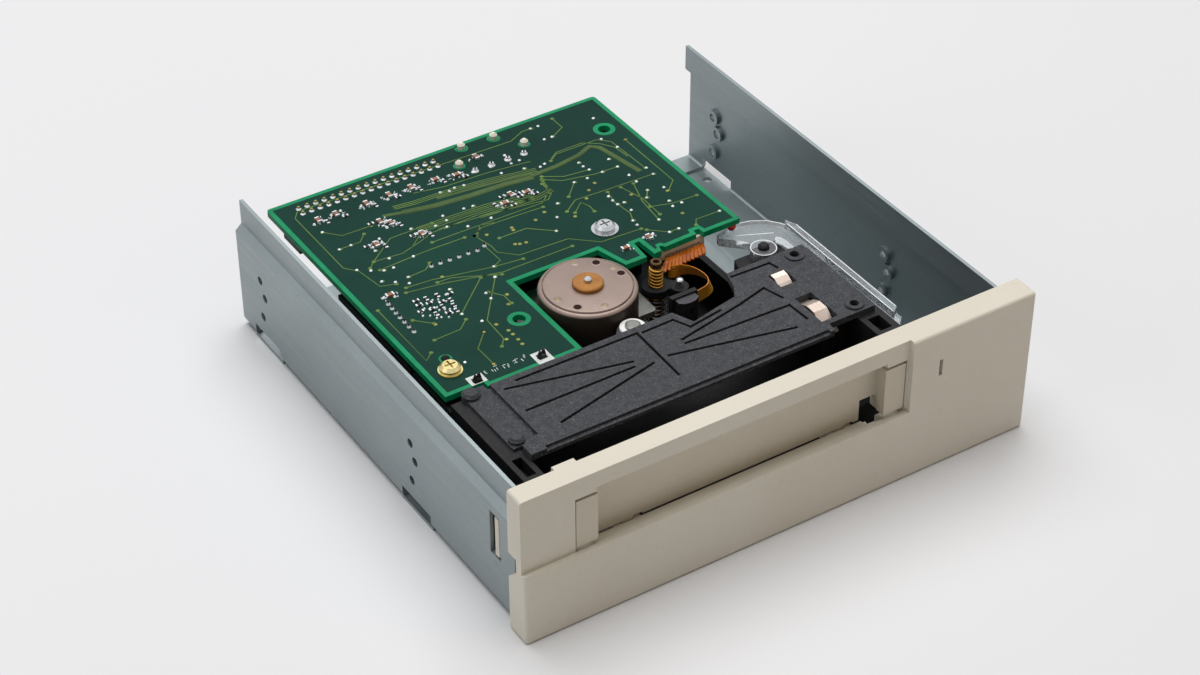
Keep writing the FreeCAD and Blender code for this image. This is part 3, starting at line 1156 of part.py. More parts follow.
make_tray()
make_bezel()
make_door()
make_base()
make_guides()
make_latches()
make_bridge()
make_board()
make_connectors()
make_board_parts()
make_screws()
make_motor()
make_head()
make_light_pipe()

for piece in PIECES:
    print(piece.Label, piece.Shape.isValid(), len(piece.Shape.Solids), round(piece.Shape.Volume))
os.makedirs("parts", exist_ok=True)
for piece in PIECES:
    piece.Shape.exportStep(f"parts/{piece.Label}.step")
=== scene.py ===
"""Finishes, fine pieces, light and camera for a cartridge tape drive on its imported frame."""

from __future__ import annotations

import json
import logging
import math
import random
from dataclasses import dataclass
from enum import Enum
from typing import Sequence

import bmesh
import bpy
from mathutils import Matrix, Vector

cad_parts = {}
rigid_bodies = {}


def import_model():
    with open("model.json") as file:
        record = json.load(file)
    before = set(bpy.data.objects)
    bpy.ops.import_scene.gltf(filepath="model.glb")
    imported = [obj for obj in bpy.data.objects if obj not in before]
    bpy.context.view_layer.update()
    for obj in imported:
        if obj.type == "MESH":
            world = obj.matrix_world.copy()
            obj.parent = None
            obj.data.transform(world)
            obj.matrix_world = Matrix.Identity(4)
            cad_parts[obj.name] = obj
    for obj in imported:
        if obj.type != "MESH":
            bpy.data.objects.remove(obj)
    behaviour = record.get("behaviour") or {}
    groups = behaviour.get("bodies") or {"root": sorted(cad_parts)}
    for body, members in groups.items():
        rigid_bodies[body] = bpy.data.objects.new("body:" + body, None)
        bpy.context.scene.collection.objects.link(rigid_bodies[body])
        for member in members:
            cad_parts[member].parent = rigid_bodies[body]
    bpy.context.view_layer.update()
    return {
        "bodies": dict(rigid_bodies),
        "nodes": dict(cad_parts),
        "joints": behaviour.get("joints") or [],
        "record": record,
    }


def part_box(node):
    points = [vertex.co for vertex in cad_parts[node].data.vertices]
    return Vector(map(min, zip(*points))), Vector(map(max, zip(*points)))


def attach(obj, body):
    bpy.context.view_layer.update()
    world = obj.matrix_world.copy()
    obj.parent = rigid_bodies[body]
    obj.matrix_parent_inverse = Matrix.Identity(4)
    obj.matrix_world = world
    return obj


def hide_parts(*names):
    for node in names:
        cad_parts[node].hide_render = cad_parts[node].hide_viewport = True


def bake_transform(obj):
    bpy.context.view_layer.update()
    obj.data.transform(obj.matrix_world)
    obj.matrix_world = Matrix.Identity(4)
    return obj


LOG = logging.getLogger("tape_drive")
MM = 0.001
HALF_DEPTH = 74.0
NOISE_SPAN = (0.25, 0.75)
RELIEF_DEPTH = 0.0002
COAT_ROUGHNESS = 0.12
CONDUCTORS = 8.0
CONDUCTOR_EDGE = (0.32, 0.4)
COLOUR_CHANGE = 0.25
Plan = tuple[float, float]
Space = tuple[float, float, float]
Colour = tuple[float, float, float]
Inputs = dict[str, float | int]


def at(x: float, depth: float, z: float) -> Vector:
    """Place a point.

    Args:
        x: Millimetres to the right of the middle.
        depth: Millimetres back from the face of the front moulding.
        z: Millimetres above the bench.

    Returns:
        The same point in the frame of the part, in metres.
    """
    return Vector((x * MM, (depth - HALF_DEPTH) * MM, z * MM))


def linear(colour: Colour) -> tuple[float, float, float, float]:
    """Turn display values from 0 to 255 into a linear colour with alpha."""
    parts = [c / 255.0 for c in colour]
    return tuple(p / 12.92 if p <= 0.04045 else ((p + 0.055) / 1.055) ** 2.4 for p in parts) + (1.0,)


# ---------------------------------------------------------------- shader groups


class Wiring:
    """A node tree, with short ways to add, fill and link its nodes."""

    def __init__(self, tree: bpy.types.NodeTree) -> None:
        """Take the tree to build in."""
        self.tree = tree

    def add(self, kind: str, **settings: object) -> bpy.types.Node:
        """Add a node.

        Args:
            kind: Type name of the node.
            settings: Its own properties by name.

        Returns:
            The node.
        """
        node = self.tree.nodes.new(kind)
        for key, value in settings.items():
            setattr(node, key, value)
        return node

    def fill(self, node: bpy.types.Node, values: dict[str, object]) -> None:
        """Set inputs of a node by their names."""
        for label, value in values.items():
            node.inputs[label].default_value = value

    def join(self, source: bpy.types.NodeSocket, target: bpy.types.NodeSocket) -> None:
        """Link two sockets."""
        self.tree.links.new(source, target)


class ShaderGroup(Wiring):
    """A shader node group with named sockets, built once and shared by the finishes."""

    def __init__(self, name: str, numbers: dict[str, float], colours: Sequence[str],
                 outputs: dict[str, str]) -> None:
        """Make the empty group.

        Args:
            name: Name of the group.
            numbers: Names and defaults of its number inputs.
            colours: Names of its colour inputs.
            outputs: Names of its outputs with their socket types.
        """
        super().__init__(bpy.data.node_groups.new(name, "ShaderNodeTree"))
        sockets = self.tree.interface
        for label, default in numbers.items():
            made = sockets.new_socket(label, in_out="INPUT", socket_type="NodeSocketFloat")
            made.default_value = default
        for label in colours:
            sockets.new_socket(label, in_out="INPUT", socket_type="NodeSocketColor")
        for label, kind in outputs.items():
            sockets.new_socket(label, in_out="OUTPUT", socket_type=kind)
        self.given = self.tree.nodes.new("NodeGroupInput")
        self.result = self.tree.nodes.new("NodeGroupOutput")


def tone_group() -> bpy.types.NodeTree:
    """Build the group that drifts slowly between two colours and adds fine dust specks.

    Returns:
        The group, with the colour and the mask of the drift as its outputs.
    """
    group = ShaderGroup("uneven_tone", {"Patch": 40.0, "Speck": 900.0, "Speck Amount": 0.1},
                        ["Main", "Other", "Dust"], {"Color": "NodeSocketColor", "Mask": "NodeSocketFloat"})
    given = group.given.outputs
    place = group.add("ShaderNodeTexCoord")
    cloud = group.add("ShaderNodeTexNoise")
    group.fill(cloud, {"Detail": 5.0, "Roughness": 0.6})
    speck = group.add("ShaderNodeTexNoise")
    group.fill(speck, {"Detail": 2.0})
    spread = group.add("ShaderNodeMapRange")
    group.fill(spread, {"From Min": 0.34, "From Max": 0.66})
    specks = group.add("ShaderNodeMapRange")
    group.fill(specks, {"From Min": 0.6, "From Max": 0.74})
    weigh = group.add("ShaderNodeMath", operation="MULTIPLY")
    drift = group.add("ShaderNodeMix", data_type="RGBA")
    dusty = group.add("ShaderNodeMix", data_type="RGBA")
    for texture, scale in ((cloud, "Patch"), (speck, "Speck")):
        group.join(place.outputs["Object"], texture.inputs["Vector"])
        group.join(given[scale], texture.inputs["Scale"])
    group.join(cloud.outputs["Fac"], spread.inputs["Value"])
    group.join(speck.outputs["Fac"], specks.inputs["Value"])
    group.join(specks.outputs["Result"], weigh.inputs[0])
    group.join(given["Speck Amount"], weigh.inputs[1])
    group.join(spread.outputs["Result"], drift.inputs["Factor"])
    group.join(given["Main"], drift.inputs["A"])
    group.join(given["Other"], drift.inputs["B"])
    group.join(weigh.outputs["Value"], dusty.inputs["Factor"])
    group.join(drift.outputs["Result"], dusty.inputs["A"])
    group.join(given["Dust"], dusty.inputs["B"])
    group.join(dusty.outputs["Result"], group.result.inputs["Color"])
    group.join(spread.outputs["Result"], group.result.inputs["Mask"])
    return group.tree


def grain_group() -> bpy.types.NodeTree:
    """Build the group for the height of a grained, brushed or porous surface.

    Returns:
        The group, with the whole height and the fine noise alone as its outputs.
    """
    numbers = {"Scale": 1200.0, "Stretch X": 1.0, "Stretch Y": 1.0, "Stretch Z": 1.0, "Pits": 0.0}
    group = ShaderGroup("surface_grain", numbers, [],
                        {"Height": "NodeSocketFloat", "Fine": "NodeSocketFloat"})
    given = group.given.outputs
    place = group.add("ShaderNodeTexCoord")
    stretch = group.add("ShaderNodeCombineXYZ")
    pull = group.add("ShaderNodeVectorMath", operation="MULTIPLY")
    noise = group.add("ShaderNodeTexNoise")
    group.fill(noise, {"Detail": 3.0})
    cells = group.add("ShaderNodeTexVoronoi")
    weigh = group.add("ShaderNodeMath", operation="MULTIPLY")
    total = group.add("ShaderNodeMath", operation="ADD")
    for axis in "XYZ":
        group.join(given[f"Stretch {axis}"], stretch.inputs[axis])
    group.join(place.outputs["Object"], pull.inputs[0])
    group.join(stretch.outputs["Vector"], pull.inputs[1])
    for texture in (noise, cells):
        group.join(pull.outputs["Vector"], texture.inputs["Vector"])
        group.join(given["Scale"], texture.inputs["Scale"])
    group.join(cells.outputs["Distance"], weigh.inputs[0])
    group.join(given["Pits"], weigh.inputs[1])
    group.join(noise.outputs["Fac"], total.inputs[0])
    group.join(weigh.outputs["Value"], total.inputs[1])
    group.join(total.outputs["Value"], group.result.inputs["Height"])
    group.join(noise.outputs["Fac"], group.result.inputs["Fine"])
    return group.tree


def ring_group() -> bpy.types.NodeTree:
    """Build the group for the fine circles that a lathe leaves round an upright axis.

    Returns:
        The group, with the height of the circles as its output.
    """
    group = ShaderGroup("turned_rings", {"Centre X": 0.0, "Centre Y": 0.0, "Rings": 400.0}, [],
                        {"Height": "NodeSocketFloat"})
    given = group.given.outputs
    place = group.add("ShaderNodeTexCoord")
    centre = group.add("ShaderNodeCombineXYZ")
    shift = group.add("ShaderNodeVectorMath", operation="SUBTRACT")
    flat = group.add("ShaderNodeVectorMath", operation="MULTIPLY")
    flat.inputs[1].default_value = (1.0, 1.0, 0.0)
    reach = group.add("ShaderNodeVectorMath", operation="LENGTH")
    noise = group.add("ShaderNodeTexNoise", noise_dimensions="1D")
    group.fill(noise, {"Detail": 4.0})
    group.join(given["Centre X"], centre.inputs["X"])
    group.join(given["Centre Y"], centre.inputs["Y"])
    group.join(place.outputs["Object"], shift.inputs[0])
    group.join(centre.outputs["Vector"], shift.inputs[1])
    group.join(shift.outputs["Vector"], flat.inputs[0])
    group.join(flat.outputs["Vector"], reach.inputs[0])
    group.join(reach.outputs["Value"], noise.inputs["W"])
    group.join(given["Rings"], noise.inputs["Scale"])
    group.join(noise.outputs["Fac"], group.result.inputs["Height"])
    return group.tree


# ---------------------------------------------------------------- finishes


class Grain(Enum):
    """How a surface was made, as the pull of its grain along each axis."""

    MOULDED = (1.0, 1.0, 1.0)
    ALONG_X = (0.04, 1.0, 1.0)
    ALONG_DEPTH = (1.0, 0.04, 1.0)
    ALONG_Z = (1.0, 1.0, 0.06)


@dataclass(frozen=True)
class Finish:
    """A finish whose colour, gloss and relief all vary over the surface.

    Attributes:
        main: The usual colour, as display values.
        other: The colour that it drifts to.
        dust: The colour of the fine specks.
        rough: The least and the most roughness.
        patch: How many times a metre the colour drifts.
        speck: How many specks a metre there are.
        rings: Centre of a turned face in metres, and the density of its circles.
        strip: Colour of the conductors of a flat cable.
        lower: A height in millimetres, and the colour below it, a darker one that paints shade on a side
            face.
    """

    name: str
    main: Colour
    other: Colour
    dust: Colour = (200, 198, 192)
    rough: tuple[float, float] = (0.4, 0.55)
    metallic: float = 0.0
    patch: float = 45.0
    speck: float = 1100.0
    speck_amount: float = 0.12
    grain: Grain = Grain.MOULDED
    grain_scale: float = 1400.0
    pits: float = 0.0
    relief: float = 0.15
    coat: float = 0.0
    specular: float = 0.5
    transmission: float = 0.0
    ior: float = 1.5
    glow: float = 0.0
    rings: tuple[float, float, float] | None = None
    strip: Colour | None = None
    lower: tuple[float, Colour] | None = None

    def build(self, groups: dict[str, bpy.types.NodeTree]) -> bpy.types.Material:
        """Make the material.

        Args:
            groups: The shared shader groups by name.

        Returns:
            The material, with its own Principled shader.
        """
        material = bpy.data.materials.new(self.name)
        material.use_nodes = True
        wiring = Wiring(material.node_tree)
        shader = material.node_tree.nodes["Principled BSDF"]
        tone = wiring.add("ShaderNodeGroup", node_tree=groups["tone"])
        wiring.fill(tone, {"Patch": self.patch, "Speck": self.speck, "Speck Amount": self.speck_amount,
                           "Main": linear(self.main), "Other": linear(self.other),
                           "Dust": linear(self.dust)})
        colour = tone.outputs["Color"]
        if self.strip:
            colour = self.striped(wiring, colour)
        if self.lower:
            colour = self.paint_shade_below(wiring, colour)
        grain = wiring.add("ShaderNodeGroup", node_tree=groups["grain"])
        wiring.fill(grain, {"Scale": self.grain_scale, "Pits": self.pits})
        wiring.fill(grain, {f"Stretch {axis}": pull for axis, pull in zip("XYZ", self.grain.value)})
        height = grain.outputs["Height"]
        if self.rings:
            turned = wiring.add("ShaderNodeGroup", node_tree=groups["rings"])
            wiring.fill(turned, dict(zip(("Centre X", "Centre Y", "Rings"), self.rings)))
            height = turned.outputs["Height"]
        gloss = wiring.add("ShaderNodeMapRange")
        wiring.fill(gloss, dict(zip(("From Min", "From Max"), NOISE_SPAN)))
        wiring.fill(gloss, dict(zip(("To Min", "To Max"), self.rough)))
        bump = wiring.add("ShaderNodeBump")
        wiring.fill(bump, {"Strength": self.relief, "Distance": RELIEF_DEPTH})
        wiring.join(colour, shader.inputs["Base Color"])
        wiring.join(grain.outputs["Fine"], gloss.inputs["Value"])
        wiring.join(gloss.outputs["Result"], shader.inputs["Roughness"])
        wiring.join(height, bump.inputs["Height"])
        wiring.join(bump.outputs["Normal"], shader.inputs["Normal"])
        wiring.fill(shader, {"Metallic": self.metallic, "Coat Weight": self.coat,
                             "Coat Roughness": COAT_ROUGHNESS, "Specular IOR Level": self.specular,
                             "Transmission Weight": self.transmission, "IOR": self.ior})
        if self.glow:
            wiring.join(colour, shader.inputs["Emission Color"])
            wiring.fill(shader, {"Emission Strength": self.glow})
        return material

    def striped(self, wiring: Wiring, colour: bpy.types.NodeSocket) -> bpy.types.NodeSocket:
        """Lay the conductors of a flat cable over its film.

        Args:
            wiring: The material's nodes.
            colour: The colour of the film.

        Returns:
            The striped colour.
        """
        sheet = wiring.add("ShaderNodeUVMap")
        split = wiring.add("ShaderNodeSeparateXYZ")
        many = wiring.add("ShaderNodeMath", operation="MULTIPLY")
        many.inputs[1].default_value = CONDUCTORS
        wave = wiring.add("ShaderNodeMath", operation="FRACT")
        line = wiring.add("ShaderNodeMapRange")
        wiring.fill(line, dict(zip(("From Min", "From Max"), CONDUCTOR_EDGE)))
        mixed = wiring.add("ShaderNodeMix", data_type="RGBA")
        wiring.fill(mixed, {"B": linear(self.strip)})
        wiring.join(sheet.outputs["UV"], split.inputs["Vector"])
        wiring.join(split.outputs["Y"], many.inputs[0])
        wiring.join(many.outputs["Value"], wave.inputs[0])
        wiring.join(wave.outputs["Value"], line.inputs["Value"])
        wiring.join(line.outputs["Result"], mixed.inputs["Factor"])
        wiring.join(colour, mixed.inputs["A"])
        return mixed.outputs["Result"]

    def paint_shade_below(self, wiring: Wiring, colour: bpy.types.NodeSocket) -> bpy.types.NodeSocket:
        """Paint shade: change the colour below a height to a darker one.

        Args:
            wiring: The material's nodes.
            colour: The colour above it.

        Returns:
            The colour of the whole.
        """
        level, below = self.lower
        place = wiring.add("ShaderNodeTexCoord")
        split = wiring.add("ShaderNodeSeparateXYZ")
        edge = wiring.add("ShaderNodeMapRange")
        wiring.fill(edge, {"From Min": (level - COLOUR_CHANGE) * MM,
                           "From Max": (level + COLOUR_CHANGE) * MM})
        mixed = wiring.add("ShaderNodeMix", data_type="RGBA")
        wiring.fill(mixed, {"A": linear(below)})
        wiring.join(place.outputs["Object"], split.inputs["Vector"])
        wiring.join(split.outputs["Z"], edge.inputs["Value"])
        wiring.join(edge.outputs["Result"], mixed.inputs["Factor"])
        wiring.join(colour, mixed.inputs["B"])
        return mixed.outputs["Result"]


MOTOR_X = -15.0 * MM
MOTOR_Y = (66.4 - HALF_DEPTH) * MM

FINISHES = (
    Finish("tray_steel", (147, 156, 158), (135, 145, 147), (96, 100, 102), (0.3, 0.46), metallic=0.72,
           patch=14.0, speck=700.0, speck_amount=0.16, grain=Grain.ALONG_DEPTH, grain_scale=900.0,
           relief=0.1),
    Finish("bezel_plastic", (218, 212, 198), (211, 204, 188), (180, 171, 152), (0.5, 0.66), patch=11.0,
           grain_scale=2300.0, pits=0.5, relief=0.24, speck_amount=0.16, specular=0.35),
    Finish("door_plastic", (210, 202, 185), (202, 193, 175), (174, 165, 146), (0.5, 0.66), patch=14.0,
           grain_scale=2300.0, pits=0.5, relief=0.22, speck_amount=0.14, specular=0.35),
    Finish("bridge_plastic", (64, 65, 69), (46, 47, 50), (124, 125, 130), (0.5, 0.8), patch=620.0,
           speck=2100.0, speck_amount=0.6, grain_scale=1700.0, pits=1.2, relief=0.8, specular=0.24),
    Finish("black_plastic", (25, 25, 27), (17, 17, 19), (60, 60, 64), (0.46, 0.68), patch=40.0,
           speck=1300.0, speck_amount=0.16, grain_scale=1900.0, pits=0.5, relief=0.35, specular=0.2),
    # painted shade: a near-black colour for the shaded floors of the bridge's grooves
    Finish("groove_painted_shade", (9, 9, 10), (5, 5, 6), (26, 26, 28), (0.6, 0.8), patch=300.0,
           grain_scale=1900.0, pits=0.3, relief=0.2, specular=0.06),
    # painted light: the faint glow makes the board's cut edges shine green
    Finish("laminate", (0, 134, 88), (0, 116, 74), (84, 176, 132), (0.34, 0.46), patch=160.0,
           speck=2400.0, speck_amount=0.18, grain=Grain.ALONG_X, grain_scale=2600.0, relief=0.12,
           specular=0.16, glow=0.1),
    Finish("solder_mask", (22, 60, 50), (18, 50, 42), (52, 86, 74), (0.42, 0.56), patch=22.0,
           speck=1500.0, speck_amount=0.1, grain_scale=300.0, relief=0.06, specular=0.05),
    Finish("masked_copper", (104, 132, 68), (86, 112, 58), (160, 168, 96), (0.42, 0.56), patch=90.0,
           speck=1200.0, grain_scale=900.0, relief=0.1, specular=0.12),
    Finish("masked_plane", (76, 100, 54), (64, 86, 48), (120, 134, 80), (0.42, 0.56), patch=120.0,
           speck=1500.0, grain_scale=900.0, relief=0.1, specular=0.12),
    Finish("dark_tin", (120, 120, 116), (92, 92, 90), (60, 60, 58), (0.34, 0.5), metallic=0.6,
           patch=700.0, speck=1800.0, speck_amount=0.2, grain_scale=2400.0, relief=0.3),
    Finish("solder", (226, 228, 230), (186, 190, 194), (110, 110, 108), (0.24, 0.46), metallic=0.7,
           patch=700.0, speck=1800.0, speck_amount=0.2, grain_scale=2600.0, relief=0.5),
    Finish("gilt_pad", (158, 146, 84), (128, 116, 60), (84, 78, 50), (0.34, 0.5), metallic=0.5,
           patch=400.0, speck=1800.0, speck_amount=0.2, grain_scale=2200.0, relief=0.2, specular=0.3),
    Finish("silkscreen", (222, 224, 220), (204, 208, 204), (120, 140, 128), (0.6, 0.8), patch=600.0,
           speck=2400.0, speck_amount=0.3, relief=0.3, specular=0.2),
    Finish("chip_plastic", (36, 36, 38), (28, 28, 30), (70, 70, 72), (0.45, 0.62), patch=120.0,
           grain_scale=2400.0, pits=0.4, relief=0.3, specular=0.3),
    Finish("chip_ceramic", (150, 98, 66), (116, 76, 54), (200, 174, 144), (0.4, 0.6), patch=500.0,
           grain_scale=2600.0, relief=0.3),
    Finish("bright_steel", (196, 198, 200), (176, 178, 181), (112, 114, 116), (0.18, 0.36), metallic=0.9,
           patch=60.0, speck=1500.0, speck_amount=0.1, grain=Grain.ALONG_X, grain_scale=1500.0,
           relief=0.12),
    Finish("leaf_steel", (206, 190, 178), (188, 172, 160), (138, 126, 116), (0.26, 0.42), metallic=0.75,
           patch=120.0, speck=1500.0, speck_amount=0.14, grain=Grain.ALONG_DEPTH, grain_scale=1500.0,
           relief=0.16),
    Finish("plate_zinc", (126, 126, 122), (108, 108, 105), (80, 80, 78), (0.36, 0.52), metallic=0.7,
           patch=120.0, speck=1500.0, speck_amount=0.16, grain_scale=1300.0, relief=0.2),
    Finish("head_metal", (66, 66, 70), (52, 52, 56), (104, 104, 108), (0.3, 0.46), metallic=0.6,
           patch=200.0, speck=1500.0, speck_amount=0.16, grain=Grain.ALONG_Z, grain_scale=2000.0,
           relief=0.2),
    Finish("yellow_zinc", (220, 206, 150), (198, 180, 120), (112, 100, 74), (0.22, 0.38), metallic=0.85,
           patch=160.0, speck=1500.0, speck_amount=0.14, grain_scale=1700.0, relief=0.14),
    # painted shade: the darker colour below 38.9 mm shades the bell's side wall and rim
    Finish("motor_aluminium", (148, 130, 121), (134, 117, 108), (96, 84, 76), (0.36, 0.52), metallic=0.4,
           patch=60.0, speck=1300.0, speck_amount=0.14, grain_scale=1500.0, relief=0.16,
           rings=(MOTOR_X, MOTOR_Y, 2600.0), lower=(38.9, (58, 50, 43)), specular=0.3),
    Finish("hole_shadow", (44, 22, 16), (30, 14, 10), (70, 40, 28), (0.6, 0.8), patch=600.0, relief=0.2,
           specular=0.1),
    Finish("bronze_hub", (158, 106, 42), (138, 88, 30), (92, 58, 24), (0.4, 0.55), metallic=0.45,
           patch=260.0, speck=1700.0, speck_amount=0.3, grain_scale=2100.0, pits=0.6, relief=0.4,
           rings=(MOTOR_X, MOTOR_Y, 3400.0)),
    Finish("brass", (196, 146, 62), (164, 114, 40), (78, 52, 24), (0.2, 0.38), metallic=0.85, patch=240.0,
           speck=1500.0, speck_amount=0.16, grain=Grain.ALONG_Z, grain_scale=1800.0, relief=0.2),
    Finish("dark_brass", (92, 66, 34), (66, 46, 24), (44, 32, 20), (0.34, 0.5), metallic=0.7, patch=240.0,
           speck=1500.0, speck_amount=0.2, grain=Grain.ALONG_Z, grain_scale=1800.0, relief=0.3),
    Finish("nylon", (232, 229, 214), (220, 216, 196), (190, 186, 168), (0.3, 0.45), patch=120.0,
           grain_scale=1600.0, relief=0.12, coat=0.1),
    Finish("white_nylon", (240, 240, 238), (230, 230, 227), (200, 200, 196), (0.34, 0.5), patch=160.0,
           grain_scale=1600.0, relief=0.12),
    Finish("clear_plastic", (246, 250, 252), (236, 241, 244), (222, 228, 232), (0.03, 0.12), patch=50.0,
           speck_amount=0.05, grain=Grain.ALONG_DEPTH, grain_scale=260.0, relief=0.12, transmission=0.9,
           ior=1.49),
    # painted highlight: near-white strips for the bright streaks along the light guide's edges
    Finish("painted_highlight", (246, 249, 250), (226, 232, 236), (190, 198, 204), (0.1, 0.3), patch=500.0,
           speck=1500.0, speck_amount=0.3, relief=0.1, coat=0.4),
    Finish("polyimide", (250, 152, 26), (222, 110, 12), (252, 200, 90), (0.12, 0.24), metallic=0.1,
           patch=160.0, speck=1200.0, speck_amount=0.14, grain_scale=700.0, relief=0.12, coat=0.6,
           strip=(255, 190, 66)),
    Finish("amber_fold", (214, 118, 24), (176, 84, 12), (240, 166, 64), (0.18, 0.34), metallic=0.1,
           patch=300.0, speck=1500.0, speck_amount=0.2, grain_scale=900.0, relief=0.2, coat=0.3),
    Finish("lamp_red", (176, 28, 18), (136, 16, 10), (214, 80, 60), (0.12, 0.24), patch=400.0, relief=0.1,
           coat=0.4, glow=0.08),
    Finish("magnet", (70, 66, 64), (58, 54, 52), (104, 98, 94), (0.5, 0.66), metallic=0.2, patch=120.0,
           grain_scale=1500.0, pits=0.5, relief=0.4),
    Finish("copper", (184, 104, 62), (156, 82, 46), (96, 50, 30), (0.22, 0.4), metallic=0.8, patch=240.0,
           speck=1800.0, speck_amount=0.18, grain=Grain.ALONG_X, grain_scale=2400.0, relief=0.4),
    Finish("roller_rubber", (40, 36, 34), (32, 29, 27), (78, 72, 68), (0.6, 0.78), patch=160.0,
           grain_scale=1700.0, pits=0.4, relief=0.4, specular=0.25),
    Finish("can_aluminium", (190, 192, 194), (172, 174, 176), (110, 112, 114), (0.26, 0.42),
           metallic=0.85, patch=80.0, speck=1500.0, speck_amount=0.12, grain=Grain.ALONG_Z,
           grain_scale=1500.0, relief=0.12),
    Finish("spring_wire", (150, 150, 152), (120, 121, 124), (74, 72, 70), (0.2, 0.36), metallic=0.9,
           patch=300.0, speck=1700.0, speck_amount=0.16, grain_scale=2000.0, relief=0.16),
)

NODES_BY_FINISH = {
    "tray_steel": ("drive_tray",),
    "bezel_plastic": ("front_bezel",),
    "door_plastic": ("cartridge_door", "door_hinge_pins"),
    "black_plastic": (
        "mechanism_base", "cartridge_shelf", "cartridge_guide_left", "cartridge_guide_right",
        "latch_arm_left", "latch_arm_right", "cartridge_in_switch", "write_protect_switch",
        "head_carriage"),
    "bright_steel": (
        "latch_pins", "board_screw_rear", "mechanism_screws", "motor_screws", "motor_shaft",
        "head_guide_rod"),
    "bridge_plastic": ("cartridge_bridge",),
    "leaf_steel": ("cartridge_leaf_spring",),
    "white_nylon": ("nylon_washer",),
    "plate_zinc": ("washer_screw", "motor_plate"),
    "laminate": ("main_board",),
    "chip_plastic": ("interface_header", "controller_chips"),
    "gilt_pad": ("header_pins",),
    "nylon": ("power_connector", "flex_connector", "cartridge_in_plunger", "write_protect_plunger"),
    "solder": ("power_pins",),
    "can_aluminium": ("filter_capacitors", "stepper_motor"),
    "yellow_zinc": ("board_screw_front",),
    "bronze_hub": ("rotor_hub",),
    "magnet": ("rotor_magnet",),
    "brass": ("motor_bearing",),
    "copper": ("motor_stator",),
    "roller_rubber": ("drive_roller",),
    "head_metal": ("tape_head",),
}


class Workshop:
    """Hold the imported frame, the finishes and the growers, and put finished pieces on the frame."""

    def __init__(self, frame: dict) -> None:
        """Build every finish and every geometry tree.

        Args:
            frame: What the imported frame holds.
        """
        self.frame = frame
        groups = {"tone": tone_group(), "grain": grain_group(), "rings": ring_group()}
        self.finishes = {finish.name: finish.build(groups) for finish in FINISHES}
        self.studs = stud_tree()
        self.blocks = block_tree()
        self.strips = strip_tree()
        self.coils = coil_tree()

    def dress_nodes(self) -> None:
        """Give each node that stays in sight its finish."""
        for finish, nodes in NODES_BY_FINISH.items():
            for node in nodes:
                shown = self.frame["nodes"][node]
                if not shown.material_slots:
                    shown.data.materials.append(self.finishes[finish])
                for slot in shown.material_slots:
                    slot.material = self.finishes[finish]
                LOG.info("node %s is finished in %s", node, finish)

    def place(self, piece: bpy.types.Object, body: str, slot: str, *replaced: str) -> None:
        """Put a finished piece on its body.

        Args:
            piece: The piece, with its place in its mesh.
            body: The body it moves with.
            slot: Not used.
            replaced: The nodes it stands for.
        """
        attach(piece, body)
        if replaced:
            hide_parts(*replaced)
        LOG.info("piece %s rides on %s", piece.name, body)

    def hang_between(self, piece: bpy.types.Object, node: str) -> None:
        """Leave a springy piece in place between the chassis and the head, on no body, and hide its node.

        Args:
            piece: The piece, with its place in its mesh.
            node: The node it stands for.
        """
        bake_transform(piece)
        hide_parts(node)
        LOG.info("piece %s bends between chassis and head", piece.name)

    def grow(self, grower: Grower, name: str, seed: bpy.types.Mesh, finish: str,
             inputs: Inputs) -> bpy.types.Object:
        """Grow a piece in one finish.

        Args:
            grower: The geometry tree.
            name: Name of the piece.
            seed: Points or lines, in metres, in place.
            finish: Name of the finish.
            inputs: The tree's inputs by name, in metres.

        Returns:
            The piece, as a plain mesh.
        """
        return grower.grow(name, seed, self.finishes[finish], inputs)

    def from_mesh(self, name: str, shape: bmesh.types.BMesh, finish: str) -> bpy.types.Object:
        """Turn an edit mesh into an object.

        Args:
            name: Name of the piece.
            shape: The edit mesh, which is freed.
            finish: Name of the finish.

        Returns:
            The piece, its place in its mesh.
        """
        mesh = bpy.data.meshes.new(name)
        shape.to_mesh(mesh)
        shape.free()
        mesh.materials.append(self.finishes[finish])
        piece = bpy.data.objects.new(name, mesh)
        bpy.context.scene.collection.objects.link(piece)
        return piece

    def turned(self, name: str, shape: bmesh.types.BMesh, finish: str, sharp: float) -> bpy.types.Object:
        """Turn an edit mesh into an object with smooth shading.

        Args:
            name: Name of the piece.
            shape: The edit mesh, which is freed.
            finish: Name of the finish.
            sharp: Angle in degrees from which an edge stays sharp.

        Returns:
            The piece, its place in its mesh.
        """
        piece = self.from_mesh(name, shape, finish)
        for polygon in piece.data.polygons:
            polygon.use_smooth = True
        piece.data.set_sharp_from_angle(angle=math.radians(sharp))
        return piece

    def plate(self, name: str, outer: Sequence[Plan], holes: Sequence[Sequence[Plan]], low: float,
              high: float, finish: str) -> bpy.types.Object:
        """Cut a thin plate with holes.

        Args:
            name: Name of the piece.
            outer: Outline in plan, in millimetres.
            holes: Outlines of the holes.
            low: Height of the under face.
            high: Height of the upper face.
            finish: Name of the finish.

        Returns:
            The plate, its place in its mesh.
        """
        curve = bpy.data.curves.new(name, "CURVE")
        curve.dimensions = "2D"
        curve.fill_mode = "BOTH"
        curve.extrude = (high - low) * MM / 2
        for outline in (outer, *holes):
            spline = curve.splines.new("POLY")
            spline.points.add(len(outline) - 1)
            for point, (x, depth) in zip(spline.points, outline):
                point.co = (*at(x, depth, 0).to_2d(), 0, 1)
            spline.use_cyclic_u = True
        drawn = bpy.data.objects.new(name, curve)
        bpy.context.scene.collection.objects.link(drawn)
        bpy.context.view_layer.update()
        mesh = bpy.data.meshes.new_from_object(drawn)
        bpy.data.objects.remove(drawn)
        mesh.transform(Matrix.Translation((0, 0, (low + high) * MM / 2)))
        mesh.materials.clear()
        mesh.materials.append(self.finishes[finish])
        piece = bpy.data.objects.new(name, mesh)
        bpy.context.scene.collection.objects.link(piece)
        return piece


# ---------------------------------------------------------------- geometry trees


